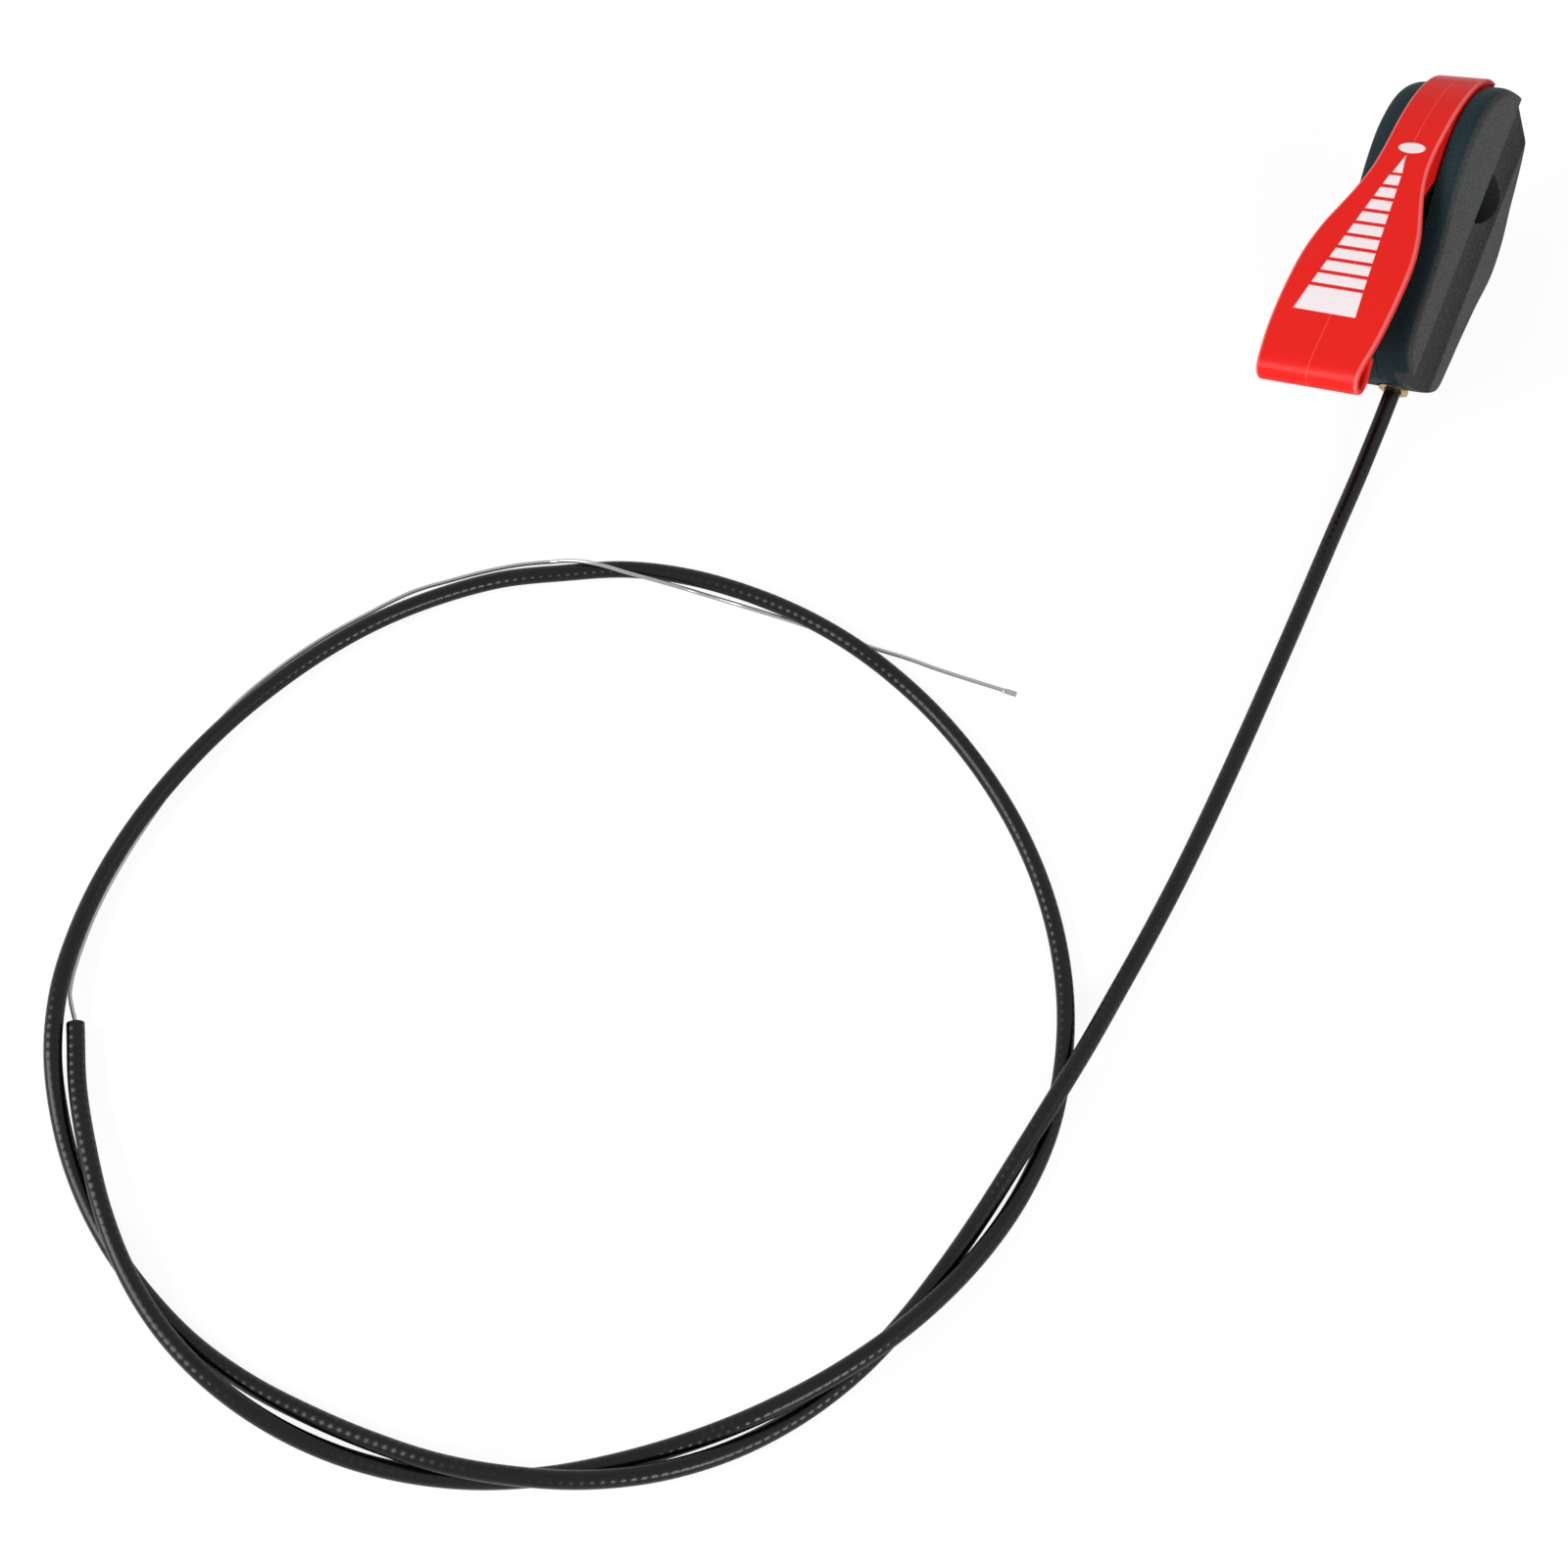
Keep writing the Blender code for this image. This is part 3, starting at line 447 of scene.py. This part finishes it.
for name, x_in, x_out in (("left_housing", PARTING_X - PARTING_GAP, -HALF_WIDTH),
                          ("right_housing", PARTING_X + PARTING_GAP, HALF_WIDTH)):
    rings = half_shell(x_in, x_out)
    ob = shape(name + "_shell", place(rings.reshape(-1, 3)), grid_faces(*rings.shape[:2], caps=True), housing_mat)
    tools = [slab_tool("slot", SLOT_OUTLINE, -SLOT_HALF, SLOT_HALF),
             round_tool("hub_room", "x", (PIVOT_Y, PIVOT_Z), HUB_ROOM),
             round_tool("ferrule_bore", "y", (CABLE_X, CABLE_Z), FERRULE_BORE)]
    for sy, sz in SCREWS_YZ:
        tools.append(round_tool("screw_hole", "x", (sy, sz), SCREW_HOLE, 32))
    if x_out < 0:
        tools.append(round_tool("pivot_hole", "x", (PIVOT_Y, PIVOT_Z), PIVOT_HOLE, 40))
    else:
        tools.append(round_tool("insert_hole", "x", (PIVOT_Y, PIVOT_Z), INSERT_HOLE, 44))
        tools.append(round_tool("bar_seat", "y", (HALF_WIDTH - SEAT_DEPTH + seat_r, SEAT_Z),
                                [(SEAT_Y0, seat_r), (SEAT_Y1, seat_r)], 160))
        tools.append(slab_tool("seat_recess", recess, HALF_WIDTH - SEAT_DEPTH - RECESS_DEPTH, HALF_WIDTH + 1))
    carve(ob, tools)
    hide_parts(name)
    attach(ob, "housing")
    print(name, "faces", len(ob.data.polygons))

# %% [markdown]
# ## Lever finish
# The lever is glossy red plastic, printed in white. The print follows the lever, so it is drawn on the
# lever's own map: one coordinate is the distance along the lever in metres, and the other is the
# distance across it. The bars get wider towards the thumb. The rounded edges are painted pale as a painted highlight,
# which a point attribute marks, and the mould left a faint line along the middle.

# %% Lever finish and print
# The pale colour mixed in along the edges is a painted highlight; the same colour also draws the mould line.
RED, PALE_HIGHLIGHT_AND_MOULD_LINE, INK = (0.72, 0.012, 0.008), (0.9, 0.42, 0.42, 1), (0.82, 0.74, 0.76, 1)
BARS_FROM, BAR_STEP, BAR_GAP, BAR_COUNT = 44.93, 4.125, 1.1, 9     # mm along the lever
LEAN = -0.02                            # how far the bars lean, mm along for each mm across
LEFT_LINE, RIGHT_LINE = (47.2, -0.2156, -2.4), (46.7, 0.139, 1.8)  # from, slope, and mm across there
BLOCK = (82.6, 90.1)                    # the wide plain block at the foot
POINT_FROM, POINT_SLOPE, POINT = 38.9, 0.27, (38.5, 44.5)          # the small triangle
OVAL_AT, OVAL_HALF = (36.2, 0.7), (1.7, 4.1)                       # along and across
MOULD_LINE, MOULD_SHARE, RIM_HIGHLIGHT_SHARE = (0.25, 0.5), 0.16, 0.28
lever_mat, t, b, where = finish("red_lever", RED, low=0.24, high=0.3, specular=0.13)
uvn = node(t, "ShaderNodeUVMap", uv_map="UVMap")
sep = node(t, "ShaderNodeSeparateXYZ", {"Vector": uvn.outputs["UV"]})


def calc(operation, first, second=None, third=None):
    """One Math node; numbers go on the socket and outputs are linked."""
    n = node(t, "ShaderNodeMath", operation=operation)
    for k, value in enumerate((first, second, third)):
        if value is None:
            continue
        if isinstance(value, (int, float)):
            n.inputs[k].default_value = value
        else:
            t.links.new(value, n.inputs[k])
    return n.outputs[0]


def step_up(value, at, soft=0.12):
    """0 below at and 1 above it, over a soft edge."""
    n = node(t, "ShaderNodeMapRange")
    t.links.new(value, n.inputs["Value"])
    n.inputs["From Min"].default_value, n.inputs["From Max"].default_value = at - soft, at + soft
    return n.outputs["Result"]


def within(value, low, high, soft=0.12):
    """1 between two values."""
    return calc("MULTIPLY", step_up(value, low, soft), calc("SUBTRACT", 1.0, step_up(value, high, soft)))


def slanted(line):
    """Distance across at a point along the lever: (along - from) times slope, plus the start."""
    start, slope, at_start = line
    return calc("MULTIPLY_ADD", calc("SUBTRACT", along_mm, start), slope, at_start)


def squared(value, middle, half):
    """((value - middle) / half) squared, one term of an oval."""
    return calc("POWER", calc("DIVIDE", calc("SUBTRACT", value, middle), half), 2.0)


along_mm, across_mm = calc("MULTIPLY", sep.outputs["X"], 1000.0), calc("MULTIPLY", sep.outputs["Y"], 1000.0)
leaning = calc("ADD", along_mm, calc("MULTIPLY", across_mm, LEAN))
phase = calc("FRACT", calc("DIVIDE", calc("SUBTRACT", leaning, BARS_FROM), BAR_STEP))
bar_edge = BAR_GAP / BAR_STEP / 2
in_bar = calc("MULTIPLY", within(phase, bar_edge, 1 - bar_edge, 0.03),
              within(leaning, BARS_FROM, BARS_FROM + BAR_COUNT * BAR_STEP))
left_side, right_side = slanted(LEFT_LINE), slanted(RIGHT_LINE)
between = calc("MULTIPLY", step_up(calc("SUBTRACT", across_mm, left_side), 0.0),
               step_up(calc("SUBTRACT", right_side, across_mm), 0.0))
bars = calc("MULTIPLY", calc("MAXIMUM", in_bar, within(leaning, *BLOCK)), between)
point_half = calc("MULTIPLY", calc("SUBTRACT", along_mm, POINT_FROM), POINT_SLOPE)
point_in = calc("MULTIPLY", step_up(calc("SUBTRACT", point_half, calc("ABSOLUTE", across_mm)), 0.0),
                within(leaning, *POINT))
oval_out = calc("ADD", squared(leaning, OVAL_AT[0], OVAL_HALF[0]), squared(across_mm, OVAL_AT[1], OVAL_HALF[1]))
oval = calc("SUBTRACT", 1.0, step_up(oval_out, 1.0, 0.1))
printed = calc("MINIMUM", calc("ADD", calc("ADD", bars, point_in), oval), 1.0)
ink = node(t, "ShaderNodeMix", {"Factor": printed}, data_type="RGBA")
# The rim attribute places a painted highlight along the lever's rounded edges.
rim = node(t, "ShaderNodeAttribute", attribute_name="rim")
mould_line = calc("MULTIPLY", within(across_mm, *MOULD_LINE, 0.1), MOULD_SHARE)
rim_highlight_and_mould_line = calc("MINIMUM", calc("MULTIPLY_ADD", rim.outputs["Fac"], RIM_HIGHLIGHT_SHARE, mould_line), 1.0)
pale_highlight_mix = node(t, "ShaderNodeMix", {"Factor": rim_highlight_and_mould_line}, data_type="RGBA")
pale_highlight_mix.inputs["A"].default_value, pale_highlight_mix.inputs["B"].default_value = (*RED, 1), PALE_HIGHLIGHT_AND_MOULD_LINE
t.links.new(pale_highlight_mix.outputs["Result"], ink.inputs["A"])
ink.inputs["B"].default_value = INK
t.links.new(ink.outputs["Result"], b.inputs["Base Color"])
print("lever finish nodes", len(t.nodes))

# %% [markdown]
# ## Lever
# The lever is a strip bent over the pivot, widening to a thumb paddle whose end is rolled back under.
# The sheet is flat across, and its edges are rounded to half its thickness. Two arms join it to a hub
# on the pivot, with a ring on the hub beside which the wire is wound.

# %% Lever strip
# Middle of the sheet's outer face as (along, towards the front, half width).
BAND = [(83.3, 22.8, 8.1), (82.4, 26.0, 8.2), (79.8, 29.4, 8.2), (76.0, 32.3, 8.2), (71.0, 34.9, 8.2),
        (65.5, 36.8, 8.2), (60.0, 38.1, 8.2), (53.5, 39.3, 8.2), (46.5, 40.4, 8.8), (39.5, 41.4, 10.6),
        (33.0, 42.3, 13.0),
        (26.5, 43.2, 15.4), (17.5, 44.4, 17.3), (6.0, 45.8, 17.8), (-5.0, 46.9, 17.4), (-13.0, 47.6, 16.4),
        (-16.8, 47.4, 16.0), (-19.2, 46.2, 15.9), (-20.3, 44.2, 15.8), (-19.8, 42.2, 15.8), (-18.0, 41.1, 15.8),
        (-15.4, 41.0, 15.8), (-12.4, 41.7, 15.8), (-9.4, 42.6, 15.8)]
SHEET = 1.8
TOP, EDGE = 21, 7                 # points across a face, and round an edge
GIRTH = 2 * (TOP + EDGE)
band = even(catmull(BAND, 12), 230)
way = np.gradient(band[:, :2], axis=0)
way /= np.linalg.norm(way, axis=1, keepdims=True)
down = np.stack((-way[:, 1], way[:, 0]), 1)
arc = np.r_[0, np.cumsum(np.linalg.norm(np.diff(band[:, :2], axis=0), axis=1))]


def strip_section(width, thick):
    """Closed loop round the sheet, as (across, depth), with round edges of half the thickness.

    The face runs from -width to width, first over the top and then back underneath.
    """
    r = thick / 2
    flat = width - r
    top = np.r_[-flat, -flat + 0.15, np.linspace(-flat + 1.0, flat - 1.0, TOP - 4), flat - 0.15, flat]
    turn = np.linspace(math.pi / 2, -math.pi / 2, EDGE + 2)[1:-1]
    right = np.stack((width - r + r * np.cos(turn), r - r * np.sin(turn)), 1)
    left = np.stack((-width + r - r * np.cos(turn[::-1]), r - r * np.sin(turn[::-1])), 1)
    under = np.stack((top[::-1], np.full(TOP, thick)), 1)
    return np.vstack((np.stack((top, np.zeros(TOP)), 1), right, under, left))


sections = np.stack([strip_section(w, SHEET) for w in band[:, 2]])
strip = np.empty(sections.shape[:2] + (3,))
strip[..., 0] = sections[..., 0]
strip[..., 1:] = band[:, None, :2] + down[:, None, :] * sections[..., 1:2]
strip_uv = np.stack((np.broadcast_to(arc[:, None], sections.shape[:2]), sections[..., 0]), -1) * 0.001
strip_uv[:, TOP + EDGE:] = -1.0     # nothing is printed underneath
# strip_rim marks the edge rows of the sheet, where the painted highlight goes.
strip_rim = np.zeros(sections.shape[:2])
strip_rim[:, [0, TOP - 1, TOP, TOP + 1, GIRTH - 2, GIRTH - 1]] = 1.0
print("lever strip", strip.shape)

# %% Lever arms and hub
# Outline of the two arms: the first stretch is drawn as a smooth curve, and the rest has corners.
FLANGE = [(81.3, 23.4), (79.6, 27.2), (75.7, 30.7), (70.6, 33.3), (65.3, 35.1), (60.2, 36.6), (53.3, 38.0),
          (46.4, 39.1), (39.5, 40.1), (33, 41.0), (24, 42.3), (24, 40.6), (33, 38.6), (41, 36.2), (49, 33.0),
          (54.5, 28.0), (57.0, 20), (56.6, 16), (58.3, 10.9), (62, 8.3), (66.5, 7.9), (70.9, 10.4), (73.2, 13.4),
          (73.85, 17.4), (73.7, 18.6), (80.2, 20.9)]
FLANGE_SMOOTH, FLANGE_X0, FLANGE_X1 = 20, 6.0, 8.0
HUB = [(-7.5, 3.93), (-7.5, 7.2), (7.5, 7.2), (7.5, 3.93)]          # (across, radius) about the pivot
SPOOL = [(2.4, 7.0), (2.4, 8.8), (3.6, 8.8), (3.6, 7.0)]
ROUND = 64
shells, maps = [strip.reshape(-1, 3)], [strip_uv.reshape(-1, 2)]
faces, total = grid_faces(*strip.shape[:2], caps=True), strip_rim.size


def add_shell(points, shell_faces):
    """Adds one closed shell to the lever, off the printed map."""
    global total
    shells.append(np.asarray(points, float))
    faces.extend([[i + total for i in f] for f in shell_faces])
    maps.append(np.full((len(points), 2), -1.0))
    total += len(points)


flange = np.vstack((catmull(FLANGE[:FLANGE_SMOOTH], 4), FLANGE[FLANGE_SMOOTH:]))
area = np.sum(flange[:, 0] * np.roll(flange[:, 1], -1) - np.roll(flange[:, 0], -1) * flange[:, 1])
flange = flange if area > 0 else flange[::-1]
for x0, x1 in ((-FLANGE_X1, -FLANGE_X0), (FLANGE_X0, FLANGE_X1)):
    plate = np.vstack([np.column_stack((np.full(len(flange), x), flange)) for x in (x0, x1)])
    add_shell(plate, grid_faces(2, len(flange), caps=True))
turn = np.linspace(0, 2 * math.pi, ROUND, endpoint=False)


def ring_loop(loop):
    """A closed (x, radius) loop turned about the pivot."""
    x, r = np.array(loop, float).T
    y, z = (r[:, None] * np.cos(turn)).ravel(), (r[:, None] * np.sin(turn)).ravel()
    points = np.stack((np.repeat(x, ROUND), PIVOT_Y + y, PIVOT_Z + z), 1)
    return points, grid_faces(len(x), ROUND, close_rows=True)


for loop in (HUB, SPOOL):
    add_shell(*ring_loop(loop))
lever = shape("red_lever", place(np.vstack(shells)), faces, lever_mat, uv=np.vstack(maps))
lever.data.set_sharp_from_angle(angle=math.radians(40))
# The rim attribute carries the painted edge highlight to the lever's finish.
rim_mark = lever.data.attributes.new("rim", "FLOAT", "POINT")
rim_values = np.r_[strip_rim.ravel(), np.zeros(total - strip_rim.size)]
rim_mark.data.foreach_set("value", rim_values.astype(np.float32))
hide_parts("throttle_lever")
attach(lever, "lever")
print("lever points", total)

# %% [markdown]
# ## Routes of the sheath and the wire
# These are the points that the solids follow. The sheath lies on the table and passes over itself in
# low humps, and the bare wire comes back round outside the loop.

# %% Route points, in mm
SHEATH_ROUTE = [(154.4, 81.3, 3.2), (146.0, 63.0, 2.4), (137.7, 44.8, 2.4), (129.2, 26.6, 2.4), (120.6, 8.4, 2.4),
    (111.8, -9.7, 2.4), (102.7, -27.6, 2.4), (93.1, -45.2, 2.5), (83.1, -62.6, 2.8), (73.4, -79.8, 7.0),
    (62.6, -96.8, 7.2), (51.7, -113.3, 2.9), (40.3, -129.8, 2.4), (27.9, -145.6, 2.4), (13.5, -159.8, 2.5),
    (-3.2, -170.9, 2.5), (-21.4, -178.7, 4.4), (-41.1, -182.5, 6.1), (-61.2, -182.3, 7.5), (-80.9, -178.9, 6.8),
    (-99.8, -172.3, 4.3), (-117.8, -164.2, 2.5), (-135.3, -154.5, 2.4), (-150.4, -141.6, 2.4), (-163.3, -126.6, 2.4),
    (-173.6, -109.2, 2.6), (-180.6, -90.2, 2.6), (-183.4, -70.4, 5.7), (-182.2, -50.5, 4.2), (-177.2, -31.1, 3.4),
    (-168.7, -12.9, 3.8), (-157.9, 4.0, 3.8), (-145.6, 19.9, 2.5), (-131.0, 33.7, 2.4), (-114.9, 45.6, 2.4),
    (-97.0, 54.7, 2.4), (-77.9, 61.0, 2.4), (-58.1, 63.4, 2.4), (-38.0, 64.1, 2.4), (-18.3, 59.7, 2.4),
    (0.2, 51.7, 3.2), (17.1, 40.8, 4.1), (32.6, 28.1, 2.5), (45.6, 12.7, 2.5), (56.2, -4.3, 2.4),
    (64.3, -22.6, 2.4), (69.4, -42.0, 2.4), (71.3, -62.0, 2.4), (69.5, -82.0, 2.4), (64.1, -101.3, 2.5),
    (54.6, -118.7, 2.5), (42.4, -134.1, 5.0), (28.2, -147.6, 7.7), (11.7, -158.8, 7.5), (-6.2, -167.8, 6.4),
    (-25.0, -174.2, 2.9), (-44.3, -179.2, 2.4), (-64.1, -182.0, 2.4), (-84.2, -181.1, 2.4), (-103.7, -176.6, 2.5),
    (-121.7, -168.8, 4.3), (-138.2, -157.4, 7.0), (-152.0, -142.6, 7.2), (-162.3, -125.4, 7.3), (-169.7, -106.7, 5.9),
    (-175.5, -87.4, 4.3), (-178.5, -68.9, 3.6)]
WIRE_ROUTE = [(-178.6, -68.4, 3.6), (-181.4, -60.4, 1.7), (-181.3, -53.0, 0.7), (-179.9, -45.6, 0.7),
    (-178.1, -38.3, 0.6),
    (-175.7, -31.1, 0.6), (-172.9, -24.1, 0.6), (-169.8, -17.2, 0.6), (-166.4, -10.5, 0.6), (-162.9, -3.8, 0.6),
    (-159.3, 2.9, 0.6), (-155.8, 9.5, 0.6), (-152.2, 16.2, 0.6), (-148.0, 22.4, 0.6), (-143.0, 28.1, 0.6),
    (-137.6, 33.4, 0.6), (-132.0, 38.4, 0.6), (-126.1, 43.1, 0.6), (-119.9, 47.4, 0.6), (-113.5, 51.4, 0.6),
    (-107.1, 55.4, 0.6), (-100.4, 58.9, 0.6), (-93.3, 61.3, 0.6), (-86.1, 63.6, 0.6), (-78.8, 65.6, 0.6),
    (-71.4, 67.0, 0.7), (-63.9, 67.6, 0.9), (-57.5, 65.9, 4.4), (-50.5, 63.8, 5.9), (-43.1, 62.0, 4.8),
    (-35.8, 60.3, 3.8), (-28.7, 58.6, 2.7), (-21.7, 57.3, 0.7), (-14.7, 54.6, 1.2), (-9.2, 52.3, 1.9),
    (-2.1, 50.5, 0.7), (5.0, 47.9, 0.7), (12.1, 45.2, 0.6), (19.1, 42.6, 0.6), (26.2, 40.0, 0.6),
    (33.4, 37.5, 0.6), (40.3, 34.6, 0.6), (47.4, 31.9, 0.6), (54.5, 29.3, 0.7), (59.3, 27.5, 0.8)]
SHEATH_R, WIRE_R, TIP_GAP = 2.3, 0.55, 0.0003
STRAIGHT_Y = (-14.8, -23.5)      # the first two points lie on the bore's axis, outside the ferrule
straight = HOUSING_POS + np.array([(CABLE_X, y, CABLE_Z) for y in STRAIGHT_Y]) @ HOUSING_TURN
sheath_way = on_table(even(catmull(np.vstack((straight, SHEATH_ROUTE)), 24), 79))
wire_way = on_table(even(catmull(WIRE_ROUTE, 24), 75))
heading = (wire_way[-1] - wire_way[-2]) / np.linalg.norm(wire_way[-1] - wire_way[-2])
wire_way = np.vstack((wire_way, wire_way[-1] + heading * TIP_GAP))     # up to the fused tip
print("sheath from", sheath_way[0].round(4).tolist(), "to", sheath_way[-1].round(4).tolist())

# %% [markdown]
# ## Tubes
# A tube is a circle carried along a line. One side of it always faces up as far as the line allows, so
# the winding that the map draws does not swirl.


# %% Tube maker
MOUTH_BACK, MOUTH_LIP = 0.0015, 0.0005     # how far the mouth's wall runs back, and its lip on the map


def upright_normals(line):
    """Two unit normals for each point of a line.

    The first is up with its part along the line removed, and the second is direction cross first.
    """
    d = np.gradient(line, axis=0)
    d /= np.linalg.norm(d, axis=1, keepdims=True)
    up = np.broadcast_to(np.array((0.0, 0.0, 1.0)), d.shape)
    n = up - d * np.sum(up * d, axis=1, keepdims=True)
    n /= np.linalg.norm(n, axis=1, keepdims=True)
    return n, np.cross(d, n)


def tube(name, line, radius, sides, material, step, mouth=0.0):
    """Surface point = line(s) + radius (cos a up + sin a side); the map holds s and a over a full turn.

    With a mouth, the far end turns in to that radius and runs a little way back inside.
    """
    length = np.linalg.norm(np.diff(line, axis=0), axis=1).sum()
    fine = even(catmull(line, 16), int(length / step))
    n, s = upright_normals(fine)
    a = np.linspace(0, 2 * math.pi, sides + 1)
    u = np.r_[0, np.cumsum(np.linalg.norm(np.diff(fine, axis=0), axis=1))]
    girth = np.full(len(fine), radius)
    if mouth:
        back = fine[-1] + (fine[-2] - fine[-1]) * (MOUTH_BACK / np.linalg.norm(fine[-2] - fine[-1]))
        fine = np.vstack((fine, fine[-1:], back[None]))
        n, s = np.vstack((n, n[-1:], n[-1:])), np.vstack((s, s[-1:], s[-1:]))
        u, girth = np.r_[u, u[-1] + MOUTH_LIP, u[-1] + MOUTH_LIP + MOUTH_BACK], np.r_[girth, mouth, mouth]
    spoke = n[:, None] * np.cos(a)[None, :, None] + s[:, None] * np.sin(a)[None, :, None]
    p = fine[:, None] + girth[:, None, None] * spoke
    uv = np.stack(np.broadcast_arrays(u[:, None], a[None] / (2 * math.pi)), -1)
    rows, cols = p.shape[:2]
    quads = [f[::-1] for f in grid_faces(rows, cols, close_cols=False)]
    ends = [list(range(cols - 1)), list(range((rows - 1) * cols, rows * cols - 1))[::-1]]
    ob = shape(name, p.reshape(-1, 3), quads + ends, material, uv=uv)
    print(name, "length", round(float(u[-1]), 4), "points", rows * cols)
    return ob


# %% [markdown]
# ## Sheath
# Under the black jacket a flat steel strip is wound in a spiral. The jacket is drawn tight over it, so
# its gloss breaks into a line of dots about 2.4 mm apart. The first stretch from the housing is smoother.

# %% Sheath finish
sheath_mat, t, b, where = finish("black_sheath", (0.002, 0.002, 0.002), low=0.2, high=0.28, specular=0.24)
uvn = node(t, "ShaderNodeUVMap", uv_map="UVMap")
sep = node(t, "ShaderNodeSeparateXYZ", {"Vector": uvn.outputs["UV"]})
WINDING, TUBE_STEP = 0.0024, 0.0012
SMOOTH_TO, SMOOTH_FADE = 0.012, 0.008     # the first stretch shows no winding, in metres
turns = calc("ADD", calc("DIVIDE", sep.outputs["X"], WINDING), sep.outputs["Y"])
wave = calc("SINE", calc("MULTIPLY", turns, 2 * math.pi))
wound = step_up(sep.outputs["X"], SMOOTH_TO, SMOOTH_FADE)
ridge = calc("MULTIPLY", calc("MULTIPLY_ADD", wave, 0.5, 0.5), wound)
bump = node(t, "ShaderNodeBump", {"Height": ridge}, Strength=0.6, Distance=0.00012)
t.links.new(bump.outputs["Normal"], b.inputs["Normal"])
sheath = tube("long_sheath", sheath_way, SHEATH_R * 0.001, 28, sheath_mat, TUBE_STEP, mouth=0.0014)
sheath.data.set_sharp_from_angle(angle=math.radians(50))
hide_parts("cable_sheath")
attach(sheath, "housing")

# %% Wire
wire_mat = finish("drawn_wire", (0.36, 0.37, 0.38), metallic=1.0, low=0.18, high=0.3)[0]
wire = tube("bare_wire", wire_way, WIRE_R * 0.001, 14, wire_mat, TUBE_STEP)
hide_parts("wire_tail")
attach(wire, "housing")

# %% [markdown]
# ## Metal and small solids
# These solids already have the right shape, so each keeps it and gets a worked finish.

# %% Finishes of the solids
plated = finish("zinc_plated", (0.58, 0.58, 0.56), metallic=1.0, low=0.25, high=0.42)[0]
brass = finish("turned_brass", (0.72, 0.52, 0.25), metallic=1.0, low=0.22, high=0.38)[0]
jacket = finish("smooth_jacket", (0.002, 0.002, 0.002), low=0.18, high=0.26, specular=0.24)[0]
worked = {
    "pivot_screw pivot_bush friction_washer_left friction_washer_right wire_nipple": plated,
    "housing_screw_1 housing_screw_2 housing_screw_3": plated,
    "pivot_insert cable_ferrule": brass,
    "inner_wire wire_wrap wire_tip": wire_mat,
    "sheath_sleeve": jacket,
}
for names, m in worked.items():
    for name in names.split():
        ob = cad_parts[name]
        ob.data.materials.clear()
        ob.data.materials.append(m)
print("solids finished")
